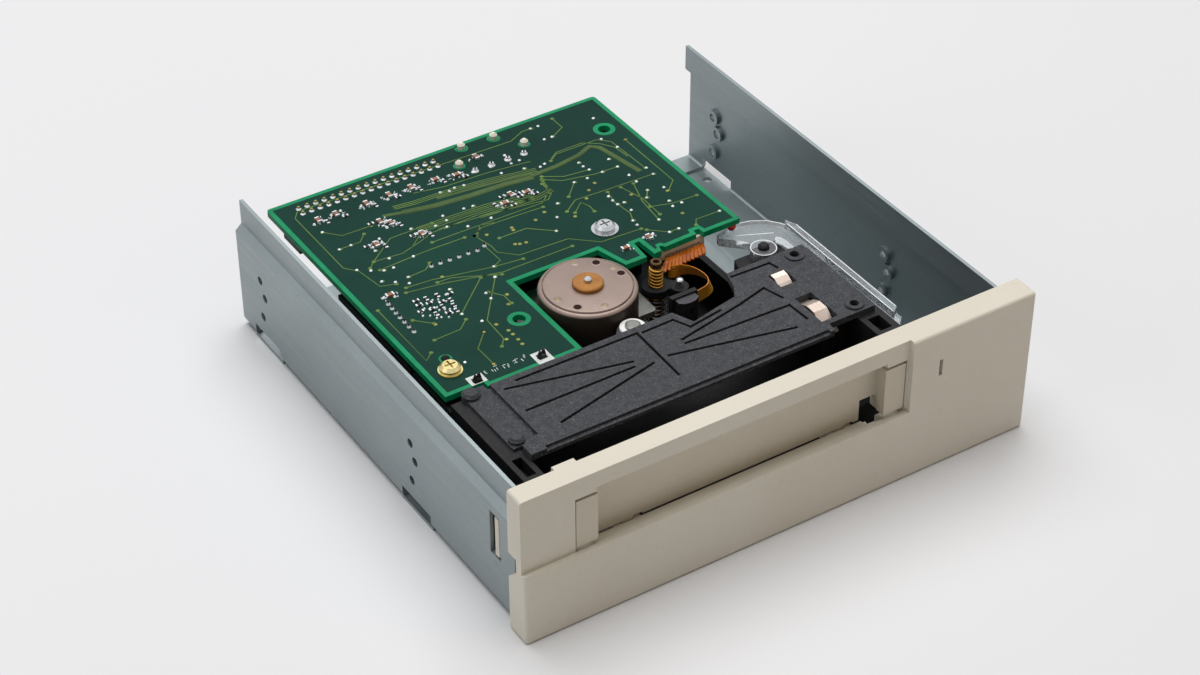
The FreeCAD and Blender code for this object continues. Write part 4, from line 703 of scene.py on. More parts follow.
class Grower(Wiring):
    """A Geometry Nodes tree with named inputs, grown on points or lines into a plain mesh."""

    def __init__(self, name: str, inputs: Inputs) -> None:
        """Make the tree with its named inputs.

        Args:
            name: Name of the tree.
            inputs: Names and defaults of its numbers, whole ones as int.
        """
        super().__init__(bpy.data.node_groups.new(name, "GeometryNodeTree"))
        sockets = self.tree.interface
        sockets.new_socket("Geometry", in_out="INPUT", socket_type="NodeSocketGeometry")
        for label, default in inputs.items():
            kind = "NodeSocketInt" if isinstance(default, int) else "NodeSocketFloat"
            sockets.new_socket(label, in_out="INPUT", socket_type=kind).default_value = default
        sockets.new_socket("Material", in_out="INPUT", socket_type="NodeSocketMaterial")
        sockets.new_socket("Geometry", in_out="OUTPUT", socket_type="NodeSocketGeometry")
        self.given = self.tree.nodes.new("NodeGroupInput")
        self.result = self.tree.nodes.new("NodeGroupOutput")

    def end(self, shape: bpy.types.NodeSocket, smooth: bool = False) -> None:
        """Close the tree with Realize Instances and Set Material.

        Args:
            shape: The geometry that the tree has made.
            smooth: Whether its faces are shaded smooth.
        """
        real = self.add("GeometryNodeRealizeInstances")
        paint = self.add("GeometryNodeSetMaterial")
        self.join(shape, real.inputs["Geometry"])
        last = real.outputs["Geometry"]
        if smooth:
            shade = self.add("GeometryNodeSetShadeSmooth")
            self.join(last, shade.inputs["Geometry"])
            last = shade.outputs["Geometry"]
        self.join(last, paint.inputs["Geometry"])
        self.join(self.given.outputs["Material"], paint.inputs["Material"])
        self.join(paint.outputs["Geometry"], self.result.inputs["Geometry"])

    def grow(self, name: str, seed: bpy.types.Mesh, material: bpy.types.Material,
             inputs: Inputs) -> bpy.types.Object:
        """Run the tree on a seed mesh and keep the result as a plain mesh.

        Args:
            name: Name of the piece.
            seed: Points or lines, in metres, in place.
            material: The finish.
            inputs: The tree's inputs by name, in metres.

        Returns:
            The piece, with no modifier left on it.
        """
        carrier = bpy.data.objects.new(name, seed)
        bpy.context.scene.collection.objects.link(carrier)
        modifier = carrier.modifiers.new("grow", "NODES")
        modifier.node_group = self.tree
        values = {**inputs, "Material": material}
        for socket in self.tree.interface.items_tree:
            if socket.in_out == "INPUT" and socket.name in values:
                modifier[socket.identifier] = values[socket.name]
        graph = bpy.context.evaluated_depsgraph_get()
        mesh = bpy.data.meshes.new_from_object(carrier.evaluated_get(graph), depsgraph=graph)
        carrier.modifiers.clear()
        carrier.data = mesh
        mesh.name = name
        mesh.materials.clear()
        mesh.materials.append(material)
        return carrier


def stud_tree() -> Grower:
    """Build the tree that stands a turned stud on each point.

    Returns:
        The grower, which takes points.
    """
    grower = Grower("studs_on_points",
                    {"Low Radius": 0.0005, "High Radius": 0.0004, "Height": 0.0002, "Sides": 10})
    given = grower.given.outputs
    cone = grower.add("GeometryNodeMeshCone")
    spread = grower.add("GeometryNodeInstanceOnPoints")
    for label, socket in (("Low Radius", "Radius Bottom"), ("High Radius", "Radius Top"),
                          ("Height", "Depth"), ("Sides", "Vertices")):
        grower.join(given[label], cone.inputs[socket])
    grower.join(given["Geometry"], spread.inputs["Points"])
    grower.join(cone.outputs["Mesh"], spread.inputs["Instance"])
    grower.end(spread.outputs["Instances"])
    return grower


def block_tree() -> Grower:
    """Build the tree that sets a small block, or two with a gap, on each point.

    A fixed chance turns some of them a quarter turn.

    Returns:
        The grower, which takes points.
    """
    grower = Grower("blocks_on_points", {"Length": 0.0016, "Width": 0.0008, "Height": 0.0005, "Gap": 0.0,
                                         "Turned": 0.5, "Seed": 3})
    given = grower.given.outputs
    cube = grower.add("GeometryNodeMeshCube")
    size = grower.add("ShaderNodeCombineXYZ")
    pair = grower.add("GeometryNodeMeshLine")
    step = grower.add("ShaderNodeCombineXYZ")
    back = grower.add("ShaderNodeVectorMath", operation="SCALE")
    grower.fill(back, {"Scale": -0.5})
    double = grower.add("GeometryNodeInstanceOnPoints")
    spread = grower.add("GeometryNodeInstanceOnPoints")
    chance = grower.add("FunctionNodeRandomValue", data_type="BOOLEAN")
    angle = grower.add("ShaderNodeMath", operation="MULTIPLY")
    angle.inputs[1].default_value = math.pi / 2
    turn = grower.add("ShaderNodeCombineXYZ")
    apart = grower.add("ShaderNodeMath", operation="GREATER_THAN")
    apart.inputs[1].default_value = 0.0
    count = grower.add("ShaderNodeMath", operation="ADD")
    count.inputs[1].default_value = 1.0
    grower.join(given["Gap"], apart.inputs[0])
    grower.join(apart.outputs["Value"], count.inputs[0])
    grower.join(count.outputs["Value"], pair.inputs["Count"])
    for label, axis in (("Length", "X"), ("Width", "Y"), ("Height", "Z")):
        grower.join(given[label], size.inputs[axis])
    grower.join(size.outputs["Vector"], cube.inputs["Size"])
    grower.join(given["Gap"], step.inputs["X"])
    grower.join(step.outputs["Vector"], pair.inputs["Offset"])
    grower.join(step.outputs["Vector"], back.inputs[0])
    grower.join(back.outputs["Vector"], pair.inputs["Start Location"])
    grower.join(pair.outputs["Mesh"], double.inputs["Points"])
    grower.join(cube.outputs["Mesh"], double.inputs["Instance"])
    grower.join(given["Turned"], chance.inputs["Probability"])
    grower.join(given["Seed"], chance.inputs["Seed"])
    grower.join(chance.outputs[3], angle.inputs[0])
    grower.join(angle.outputs["Value"], turn.inputs["Z"])
    grower.join(given["Geometry"], spread.inputs["Points"])
    grower.join(double.outputs["Instances"], spread.inputs["Instance"])
    grower.join(turn.outputs["Vector"], spread.inputs["Rotation"])
    grower.end(spread.outputs["Instances"])
    return grower


def strip_tree() -> Grower:
    """Build the tree that lays a flat strip along each line.

    Returns:
        The grower, which takes open lines.
    """
    grower = Grower("strips_on_lines", {"Width": 0.0003, "Height": 0.00004})
    given = grower.given.outputs
    curve = grower.add("GeometryNodeMeshToCurve")
    level = grower.add("GeometryNodeSetCurveNormal", mode="Z_UP")
    profile = grower.add("GeometryNodeCurvePrimitiveQuadrilateral")
    sweep = grower.add("GeometryNodeCurveToMesh")
    grower.fill(sweep, {"Fill Caps": True})
    grower.join(given["Geometry"], curve.inputs["Mesh"])
    grower.join(curve.outputs["Curve"], level.inputs["Curve"])
    grower.join(level.outputs["Curve"], sweep.inputs["Curve"])
    grower.join(given["Width"], profile.inputs["Width"])
    grower.join(given["Height"], profile.inputs["Height"])
    grower.join(profile.outputs["Curve"], sweep.inputs["Profile Curve"])
    grower.end(sweep.outputs["Mesh"])
    return grower


def coil_tree() -> Grower:
    """Build the tree that winds an upright coil of round wire on each point.

    Returns:
        The grower, which takes points.
    """
    grower = Grower("coils_on_points", {"Radius": 0.002, "Height": 0.01, "Turns": 6.0, "Wire": 0.0002,
                                        "Steps": 160, "Sides": 8})
    given = grower.given.outputs
    spiral = grower.add("GeometryNodeCurveSpiral")
    profile = grower.add("GeometryNodeCurvePrimitiveCircle")
    sweep = grower.add("GeometryNodeCurveToMesh")
    grower.fill(sweep, {"Fill Caps": True})
    spread = grower.add("GeometryNodeInstanceOnPoints")
    for label, socket in (("Steps", "Resolution"), ("Turns", "Rotations"), ("Radius", "Start Radius"),
                          ("Radius", "End Radius"), ("Height", "Height")):
        grower.join(given[label], spiral.inputs[socket])
    grower.join(given["Wire"], profile.inputs["Radius"])
    grower.join(given["Sides"], profile.inputs["Resolution"])
    grower.join(spiral.outputs["Curve"], sweep.inputs["Curve"])
    grower.join(profile.outputs["Curve"], sweep.inputs["Profile Curve"])
    grower.join(given["Geometry"], spread.inputs["Points"])
    grower.join(sweep.outputs["Mesh"], spread.inputs["Instance"])
    grower.end(spread.outputs["Instances"], smooth=True)
    return grower


def dots(name: str, places: Sequence[Plan], z: float) -> bpy.types.Mesh:
    """Make loose points at one height.

    Args:
        name: Name of the mesh.
        places: The points in plan.
        z: Their height.

    Returns:
        The seed mesh.
    """
    mesh = bpy.data.meshes.new(name)
    mesh.from_pydata([at(x, depth, z) for x, depth in places], [], [])
    return mesh


def lines(name: str, paths: Sequence[Sequence[Plan]], z: float) -> bpy.types.Mesh:
    """Make open lines at one height.

    Args:
        name: Name of the mesh.
        paths: The lines in plan.
        z: Their height.

    Returns:
        The seed mesh.
    """
    points: list[Vector] = []
    edges: list[tuple[int, int]] = []
    for path in paths:
        start = len(points)
        points += [at(x, depth, z) for x, depth in path]
        edges += [(start + i, start + i + 1) for i in range(len(path) - 1)]
    mesh = bpy.data.meshes.new(name)
    mesh.from_pydata(points, edges, [])
    return mesh


def round_about(x: float, depth: float, radius: float, degrees: float) -> Plan:
    """Give the point in plan at a distance and an angle from a centre."""
    angle = math.radians(degrees)
    return (x + radius * math.cos(angle), depth + radius * math.sin(angle))


def circle(x: float, depth: float, radius: float, sides: int = 28) -> list[Plan]:
    """Draw a circle in plan as a list of points."""
    angles = [2 * math.pi * i / sides for i in range(sides)]
    return [(x + radius * math.cos(angle), depth + radius * math.sin(angle)) for angle in angles]


def beside(path: Sequence[Plan], gap: float) -> list[Plan]:
    """Shift a path sideways, its corners kept on the mitre.

    Args:
        path: Points in plan.
        gap: Distance to the left of the way along the path.

    Returns:
        The shifted path.
    """
    shifted = []
    for i, (u, v) in enumerate(path):
        normals = []
        before, after = path[max(i - 1, 0)], path[min(i + 1, len(path) - 1)]
        for (u1, v1), (u2, v2) in ((before, (u, v)), ((u, v), after)):
            run = math.hypot(u2 - u1, v2 - v1)
            if run > 0:
                normals.append(Vector(((v1 - v2) / run, (u2 - u1) / run)))
        middle = sum(normals, Vector((0, 0))).normalized()
        stretch = min(2.0, 1 / max(0.3, middle.dot(normals[0])))
        shifted.append((u + middle.x * gap * stretch, v + middle.y * gap * stretch))
    return shifted


def revolve(shape: bmesh.types.BMesh, profile: Sequence[Plan], centre: Vector, sides: int = 48) -> None:
    """Turn a profile about an upright axis.

    Args:
        shape: The edit mesh to add to.
        profile: Radius and height pairs in millimetres, open ends on the axis.
        centre: A point on the axis, at height zero.
        sides: Facets round the axis.
    """
    rings = []
    for radius, height in profile:
        ring = []
        for i in range(sides if radius > 0 else 1):
            angle = 2 * math.pi * i / sides
            reach = Vector((radius * math.cos(angle), radius * math.sin(angle), height))
            ring.append(shape.verts.new(centre + reach * MM))
        rings.append(ring)
    for low, high in zip(rings, rings[1:]):
        for i in range(sides):
            k = (i + 1) % sides
            corners = [low[i % len(low)], low[k % len(low)], high[k % len(high)], high[i % len(high)]]
            shape.faces.new(list(dict.fromkeys(corners)))
    bmesh.ops.recalc_face_normals(shape, faces=shape.faces)


@dataclass(frozen=True)
class Stud:
    """The size of a turned stud, in millimetres."""

    foot: float
    top: float
    height: float
    sides: int

    def inputs(self) -> Inputs:
        """Give the inputs of the stud tree."""
        return {"Low Radius": self.foot * MM, "High Radius": self.top * MM, "Height": self.height * MM,
                "Sides": self.sides}


@dataclass(frozen=True)
class Block:
    """The size of a small block, in millimetres, and the gap between two of them."""

    length: float
    width: float
    height: float
    gap: float = 0.0

    def inputs(self, turned: float, seed: int) -> Inputs:
        """Give the inputs of the block tree.

        Args:
            turned: The share of the blocks that are turned.
            seed: Which of the fixed chances turns them.

        Returns:
            The inputs by name, in metres.
        """
        return {"Length": self.length * MM, "Width": self.width * MM, "Height": self.height * MM,
                "Gap": self.gap * MM, "Turned": turned, "Seed": seed}


@dataclass(frozen=True)
class StudSet:
    """Studs of one size and finish, grown as one piece."""

    name: str
    places: Sequence[Plan]
    level: float
    stud: Stud
    finish: str
    slot: str
    body: str = "chassis"

    def build(self, shop: Workshop) -> None:
        """Grow the studs and put them on their body.

        Args:
            shop: The finishes, the growers and the frame.
        """
        seed = dots(f"{self.name}_seed", self.places, self.level)
        piece = shop.grow(shop.studs, self.name, seed, self.finish, self.stud.inputs())
        shop.place(piece, self.body, self.slot)


@dataclass(frozen=True)
class StripSet:
    """Flat strips of one size and finish on the chassis, grown as one piece."""

    name: str
    paths: Sequence[Sequence[Plan]]
    level: float
    width: float
    height: float
    finish: str
    slot: str

    def build(self, shop: Workshop) -> None:
        """Grow the strips and put them on the chassis.

        Args:
            shop: The finishes, the growers and the frame.
        """
        seed = lines(f"{self.name}_seed", self.paths, self.level)
        inputs = {"Width": self.width * MM, "Height": self.height * MM}
        piece = shop.grow(shop.strips, self.name, seed, self.finish, inputs)
        shop.place(piece, "chassis", self.slot)


# ---------------------------------------------------------------- the board


@dataclass(frozen=True)
class SolderRoom:
    """The part of the board that the scattered solder keeps to."""

    rear: float
    front: float
    notch: tuple[float, float, float]

    def holds(self, place: Plan) -> bool:
        """Tell whether a place is on the board and clear of the motor's notch.

        Args:
            place: The place in plan.

        Returns:
            Whether solder may lie there.
        """
        x, depth = place
        left, right, notch_rear = self.notch
        return self.front <= depth < self.rear and not (left < x < right and depth < notch_rear)


@dataclass(frozen=True)
class BoardDress:
    """The copper, solder, small parts and printing on the upper face of the circuit board.

    Attributes:
        top: Height of the board's upper face.
        film: Gauge of the mask.
        copper: How far a masked track stands up.
        pour: Outline of the copper plane and its mask.
        clear: Middles and radii of the openings in the mask.
        prongs: Middles of the two prongs that come up through the board's front edge.
        broad: Widths and runs of the broad copper.
        bundle: The run that the close tracks follow.
        bundle_low: The run that the four wider tracks follow.
        fringe: The tracks that go round the two bundles.
        parts: Middles of the small parts with tinned ends.
        cluster: Middle of the crowded group near the left edge.
        row: The loose leads beside that group.
        joints: The row of leads behind it.
        header_at: The first pin of the header, and the pitch.
        power_at: The first peg of the power inlet, and the pitch.
        frame_fronts: Where the white frames of the prongs end at the front.
        stroke_groups: Middles of the groups of white strokes.
    """

    top: float = 37.55
    film: float = 0.05
    copper: float = 0.035
    track: float = 0.3
    pour: tuple[Plan, ...] = (
        (-64.9, 141.3), (-64.9, 50.9), (-54.2, 50.9), (-54.2, 49.1), (-29.8, 49.1), (-29.8, 81.9),
        (-1.9, 81.9), (-0.7, 77.2), (0.6, 72.5), (4.7, 72.5), (5.2, 79.2), (9.2, 79.2), (9.6, 72.8),
        (10.2, 72.9), (10.6, 74.5), (12.3, 74.5), (12.8, 73.6), (21.0, 73.9), (21.4, 75.5), (24.9, 75.5),
        (25.4, 73.5), (34.3, 73.5), (34.3, 141.3))
    clear: tuple[tuple[float, float, float], ...] = (
        (29.0, 127.0, 3.1), (-35.2, 66.5, 3.0), (-8.5, 140.0, 1.9), (1.3, 139.5, 1.9),
        (-13.3, 132.9, 1.7), (6.8, 132.5, 1.7), (-58.6, 62.6, 1.7))
    prongs: tuple[Plan, ...] = ((-56.5, 51.0), (-38.5, 50.5))
    tracks: tuple[tuple[Plan, ...], ...] = (
        ((-53.6, 95.6), (-57.6, 97.0), (-58.9, 105.6), (-61.6, 108.9), (-61.6, 135.0), (-59.6, 137.6),
         (-36.0, 136.8), (-14.3, 136.0), (4.6, 135.6), (9.4, 138.0), (12.2, 138.0)),
        ((8.5, 121.6), (11.4, 123.6), (24.4, 123.6), (27.2, 120.6), (27.9, 105.0)),
        ((-30.9, 110.2), (-20.8, 110.6), (-3.7, 109.6), (1.2, 110.7), (1.7, 114.8)),
        ((-37.0, 106.4), (-17.7, 106.3), (-3.9, 106.1), (0.6, 109.6), (0.8, 113.6)),
        ((-55.9, 105.1), (-53.8, 107.1), (-45.8, 106.3), (-39.8, 108.2), (-34.8, 110.1), (-30.3, 110.3)),
        ((-54.2, 103.1), (-44.1, 103.7), (-38.5, 103.9), (-28.9, 103.7)),
        ((-26.4, 102.9), (-23.1, 105.1), (-12.7, 104.8), (-4.6, 104.4)),
        ((-26.4, 102.9), (-25.1, 96.9), (-25.2, 93.6), (-21.1, 89.4), (-6.8, 88.7), (-0.4, 82.9),
         (11.5, 82.2)),
        ((-52.4, 92.9), (-45.2, 92.3), (-29.2, 88.6), (-21.1, 87.5)),
        ((-53.4, 91.1), (-43.1, 89.3), (-28.4, 85.4), (-7.6, 85.4)),
        ((-26.5, 97.8), (-26.3, 90.1), (-29.1, 88.7)),
        ((-53.8, 107.1), (-45.2, 113.8), (-32.7, 113.9)),
        ((-44.6, 90.6), (-40.7, 90.4), (-29.1, 84.7)),
        ((-46.2, 75.9), (-34.4, 86.4)),
        ((-30.9, 85.0), (-42.2, 70.2), (-42.6, 61.6), (-44.6, 59.2)),
        ((-45.3, 66.5), (-50.0, 61.6), (-49.9, 54.1)),
        ((-57.7, 80.2), (-53.9, 76.2)),
        ((-0.5, 99.2), (4.1, 102.5), (14.1, 102.0), (28.1, 101.5)),
        ((1.0, 97.6), (4.8, 100.8), (5.8, 98.0), (5.6, 95.4)),
        ((1.8, 115.4), (6.1, 112.0), (15.0, 109.9), (22.0, 109.6)),
        ((2.5, 116.6), (7.6, 113.4), (14.9, 112.5)),
        ((3.5, 104.7), (8.3, 109.6)),
        ((13.3, 101.0), (12.3, 96.2), (13.0, 89.6), (11.7, 86.4)),
        ((21.2, 100.6), (18.6, 92.4), (17.6, 83.1)),
        ((17.4, 101.0), (19.4, 93.6), (19.2, 85.0)),
        ((18.9, 89.3), (24.6, 87.4), (32.2, 87.0)),
        ((24.4, 75.9), (25.8, 78.0), (33.1, 77.8)),
        ((19.8, 139.0), (19.8, 133.9), (15.4, 131.4)),
        ((12.4, 81.0), (16.8, 77.0), (19.7, 77.0)),
        ((-58.6, 125.7), (-55.0, 121.6), (-46.6, 121.4)),
        ((-58.5, 116.6), (-52.4, 116.6), (-49.9, 119.2)),
        ((-49.7, 96.6), (-44.4, 96.9), (-42.0, 98.9)),
        ((-35.9, 80.1), (-33.4, 76.7), (-33.4, 73.0)),
        ((22.6, 96.0), (20.5, 93.2)),
        ((-21.5, 98.6), (-13.4, 98.5), (-7.5, 93.3)),
        ((30.9, 119.4), (30.9, 96.2), (27.2, 92.9)),
        ((-63.0, 88.4), (-63.0, 64.2), (-60.4, 66.4)),
        ((-57.2, 70.3), (-49.6, 70.6), (-46.4, 73.4)))
    broad: tuple[tuple[float, tuple[Plan, ...]], ...] = (
        (2.1, ((-36.6, 122.2), (-28.5, 120.4), (-18.2, 119.3), (-7.5, 118.8), (0.6, 117.6))),
        (1.3, ((-42.0, 123.6), (-36.6, 122.2), (-28.5, 120.4))),
        (1.1, ((-26.0, 122.9), (-14.2, 121.6), (-4.6, 120.2), (1.4, 119.2))),
        (1.6, ((0.3, 118.4), (8.3, 118.6), (16.4, 119.9), (21.0, 122.0), (23.0, 120.0), (24.3, 113.3),
              (25.9, 104.5))))
    bundle: tuple[Plan, ...] = (
        (-37.7, 125.7), (-32.1, 124.8), (-19.8, 124.4), (-8.3, 122.8), (3.1, 120.5))
    bundle_low: tuple[Plan, ...] = ((-37.3, 113.0), (-27.5, 112.8), (-16.1, 112.4), (-4.4, 109.7))
    fringe: tuple[tuple[Plan, ...], ...] = (
        ((-30.0, 128.4), (-21.8, 126.6), (-8.7, 126.0), (3.8, 124.4)),
        ((9.1, 122.4), (11.9, 124.3), (20.1, 124.4), (24.0, 121.6), (26.5, 117.8), (27.0, 112.3)),
        ((-41.8, 107.8), (-35.9, 112.8), (-17.0, 112.2)),
        ((-32.6, 110.6), (-16.5, 109.1), (-1.7, 106.5), (1.4, 109.4), (1.0, 113.3)),
        ((-26.3, 101.8), (-22.8, 106.3), (-18.9, 105.2)))
    vias: tuple[Plan, ...] = (
        (-58.5, 116.6), (-55.1, 116.7), (-56.2, 104.2), (-56.2, 98.6), (-59.1, 106.3), (-49.7, 106.3),
        (-53.4, 102.4), (-50.7, 102.2), (-44.1, 103.7), (-51.1, 111.1), (-58.6, 125.7), (-53.4, 96.5),
        (-49.6, 96.6), (-50.7, 94.2), (-45.3, 85.0), (-36.6, 80.1), (-36.7, 77.5), (-43.4, 70.7),
        (-29.1, 88.7), (-31.2, 84.7), (-55.4, 58.7), (-0.6, 103.7), (-4.0, 98.5), (-7.5, 93.3),
        (14.3, 94.6), (12.4, 99.2), (12.3, 97.0), (12.4, 94.8), (22.4, 101.0), (22.6, 96.0), (20.5, 93.2),
        (27.0, 94.8), (17.6, 83.1), (11.7, 86.4), (11.6, 84.3), (14.0, 90.7), (24.6, 88.8), (24.1, 86.3),
        (27.0, 86.4), (16.8, 77.0), (19.7, 77.0), (33.1, 77.8), (28.1, 101.5), (22.4, 104.6),
        (28.2, 105.0), (17.2, 109.7), (14.9, 112.5), (22.0, 109.6), (22.0, 113.9), (25.6, 123.2),
        (27.2, 117.6), (14.3, 116.8), (14.4, 114.7), (12.3, 109.4), (8.3, 109.6), (4.7, 120.8),
        (6.4, 121.4), (0.6, 122.4), (1.6, 126.5), (-1.0, 126.4), (-6.5, 127.9), (-0.5, 130.7),
        (-22.4, 115.1), (-19.8, 114.8), (-21.5, 124.1), (-19.6, 124.7), (-23.9, 124.9), (-28.7, 115.2),
        (-28.9, 112.9), (-30.3, 110.3), (-25.6, 107.6), (-18.6, 107.6), (-32.6, 112.3), (12.6, 131.5),
        (15.0, 131.4), (12.2, 138.0), (14.6, 138.0), (29.4, 133.1), (-43.5, 86.4), (-46.1, 75.8),
        (-16.9, 124.4), (-14.6, 128.6), (-11.8, 128.4), (-5.6, 123.9), (-38.6, 114.6), (-47.6, 115.2))
    small_vias: tuple[Plan, ...] = (
        (-16.4, 100.8), (-16.6, 99.7), (-19.5, 94.1), (-18.4, 93.5), (-16.7, 93.2), (-23.5, 101.6),
        (-53.8, 75.7), (-32.5, 76.7), (-34.3, 73.0), (-41.2, 67.5), (-39.9, 63.8), (-39.8, 61.9),
        (-39.8, 59.4), (-39.9, 57.3), (7.0, 101.5), (12.7, 106.4), (24.4, 82.2), (-5.6, 102.2),
        (0.1, 96.2), (-42.2, 61.0), (-45.3, 66.5), (-49.9, 54.2), (-42.4, 92.0), (31.0, 119.4),
        (26.9, 92.9), (9.6, 104.4), (17.9, 96.6), (-9.4, 100.4))
    parts: tuple[Plan, ...] = (
        (-51.9, 130.6), (-42.9, 130.4), (-44.0, 121.3), (-36.0, 130.7), (-49.7, 113.0), (-29.4, 130.6),
        (-37.4, 110.8), (-22.2, 130.4), (-16.3, 129.3), (-7.6, 133.8), (-9.0, 113.4), (-12.5, 110.9),
        (-4.9, 112.3), (-57.5, 92.1), (-57.1, 130.7), (3.1, 76.9), (10.9, 77.6), (-41.8, 119.3))
    cluster: Plan = (-50.6, 82.9)
    row: tuple[Plan, ...] = (
        (-59.5, 89.3), (-59.6, 87.2), (-59.7, 85.1), (-59.8, 82.9), (-59.8, 80.7), (-59.8, 78.4),
        (-59.7, 76.0))
    joints: tuple[Plan, ...] = (
        (-26.5, 97.8), (-29.1, 96.9), (-31.7, 97.1), (-34.4, 97.1), (-37.1, 97.2), (-39.8, 97.3),
        (-42.4, 97.4))
    header_at: Space = (-58.8, 135.9, 2.54)
    power_at: Space = (-10.9, 128.6, 5.08)
    frame_fronts: tuple[float, float] = (49.65, 48.0)
    stroke_groups: tuple[Plan, ...] = (
        (-53.0, 52.4), (-50.6, 52.6), (-47.6, 51.9), (-44.6, 52.2), (-42.8, 52.6))
    close_pitch: float = 0.72
    wide_pitch: float = 0.8
    broad_drop: float = 0.008
    broad_step: float = 0.002
    broad_gauge: float = 0.6
    lead_rise: float = 0.4
    pin_rise: float = 0.3
    print_lift: float = 0.01
    print_gauge: float = 0.02
    seed: int = 11

    def build(self, shop: Workshop) -> None:
        """Make every piece on the board's upper face and put it on the chassis.

        Args:
            shop: The finishes, the growers and the frame.
        """
        self.lay_film(shop)
        self.lay_tracks(shop)
        self.solder(shop)
        self.mount_parts(shop)
        self.frame_prongs(shop)
        self.print_strokes(shop)

    def lay_film(self, shop: Workshop) -> None:
        """Lay the dark mask over the copper plane, open round holes and along the edges.

        Args:
            shop: The finishes, the growers and the frame.
        """
        holes = [circle(x, depth, radius) for x, depth, radius in self.clear]
        base = self.top + self.film
        piece = shop.plate("mask_over_copper", self.pour, holes, self.top, base, "solder_mask")
        shop.place(piece, "chassis", "circuit_board")

    def lay_tracks(self, shop: Workshop) -> None:
        """Lay the tracks, single and in bundles, and the broad copper under them.

        Args:
            shop: The finishes, the growers and the frame.
        """
        level = self.top + self.film + self.copper / 2
        paths = [*self.tracks, *self.fringe]
        paths += [beside(self.bundle, (i - 1.5) * self.close_pitch) for i in range(3)]
        paths += [beside(self.bundle_low, (i - 1.5) * self.wide_pitch) for i in range(4)]
        paths += [beside(self.tracks[2][1:4], -self.wide_pitch * i) for i in (1, 2)]
        StripSet("copper_tracks", paths, level, self.track, self.copper, "masked_copper",
                 "circuit_board").build(shop)
        for i, (width, path) in enumerate(self.broad):
            StripSet(f"copper_broad_{i + 1}", [path], level - self.broad_drop + i * self.broad_step, width,
                     self.copper * self.broad_gauge, "masked_plane", "circuit_board").build(shop)

    def scattered_solder(self) -> tuple[list[Plan], list[Plan], list[Plan]]:
        """Scatter the solder of the small parts.

        Returns:
            The fine glints and the blobs beside the parts, and the pads of the crowded group.
        """
        chance = random.Random(self.seed)
        glints, blobs = [], []
        for x, depth in self.parts:
            glints += [(x + chance.uniform(-2.2, 2.2), depth + chance.uniform(-1.4, 1.4)) for _ in range(6)]
            blobs += [(x + side * chance.uniform(0.9, 1.9), depth + chance.uniform(-1.2, 1.2))
                      for side in (-1, 1, 1)]
        pads = [(self.cluster[0] + i * 1.35 - 4.4 + j * 0.3 + chance.uniform(-0.3, 0.3),
                 self.cluster[1] + j * 1.5 - 4.2 - i * 0.5 + chance.uniform(-0.3, 0.3))
                for i in range(7) for j in range(6) if (i + 2 * j) % 5 > 1]
        glint_room = SolderRoom(rear=134.4, front=74.2, notch=(-1, 1.6, 78.6))
        blob_room = SolderRoom(rear=134.2, front=74.8, notch=(-2, 2.2, 79.2))
        return list(filter(glint_room.holds, glints)), list(filter(blob_room.holds, blobs)), pads

    def solder(self, shop: Workshop) -> None:
        """Set the solder on the vias, the header, the power inlet and the loose leads.

        Args:
            shop: The finishes, the growers and the frame.
        """
        base = self.top + self.film
        x, depth, pitch = self.header_at
        header = [(x + pitch * i, row) for i in range(17) for row in (depth, depth + pitch)]
        x, depth, pitch = self.power_at
        power = [(x + pitch * i, depth) for i in range(4)]
        glints, blobs, pads = self.scattered_solder()
        leads = [*self.row, *self.joints]
        ends = [end for track in self.tracks for end in (track[0], track[-1])]
        ends += [*self.small_vias, *((x + 0.2, depth - 0.1) for x, depth in self.vias[::3])]
        tin = ("solder", "bright_steel")
        for studs in (
                StudSet("solder_on_vias", self.vias, base, Stud(0.46, 0.3, 0.16, 10), *tin),
                StudSet("solder_on_header", header, base, Stud(0.74, 0.34, 0.36, 14), *tin),
                StudSet("solder_on_power", power, base, Stud(1.05, 0.5, 0.6, 16), *tin),
                StudSet("solder_glints", glints, base, Stud(0.26, 0.14, 0.26, 8), *tin),
                StudSet("solder_blobs", blobs, base, Stud(0.5, 0.24, 0.3, 9), *tin),
                StudSet("solder_cluster", pads, base, Stud(0.36, 0.24, 0.24, 8), *tin),
                StudSet("solder_row", leads, base, Stud(0.62, 0.34, 0.5, 12), *tin),
                StudSet("gilt_vias", self.small_vias, base, Stud(0.44, 0.4, 0.06, 12), "gilt_pad", "brass"),
                StudSet("track_pads", ends, base, Stud(0.56, 0.54, 0.05, 14), "masked_copper",
                        "circuit_board"),
                StudSet("lead_tips", [*self.joints, *self.row, *power], base + self.lead_rise,
                        Stud(0.3, 0.24, 0.75, 8), "chip_plastic", "chip_plastic"),
                StudSet("header_tips", header, base + self.pin_rise, Stud(0.3, 0.24, 0.3, 8), "dark_tin",
                        "bright_steel")):
            studs.build(shop)

    def cluster_parts(self) -> list[Plan]:
        """Scatter the small parts of the crowded group near the left edge.

        Returns:
            Their places in plan.
        """
        chance = random.Random(self.seed + 3)
        return [(self.cluster[0] + i * 2.7 - 3.9 + j * 0.5 + chance.uniform(-0.4, 0.4),
                 self.cluster[1] + j * 2.4 - 3.4 - i * 0.7 + chance.uniform(-0.4, 0.4))
                for i in range(4) for j in range(4) if (i, j) != (0, 0)]

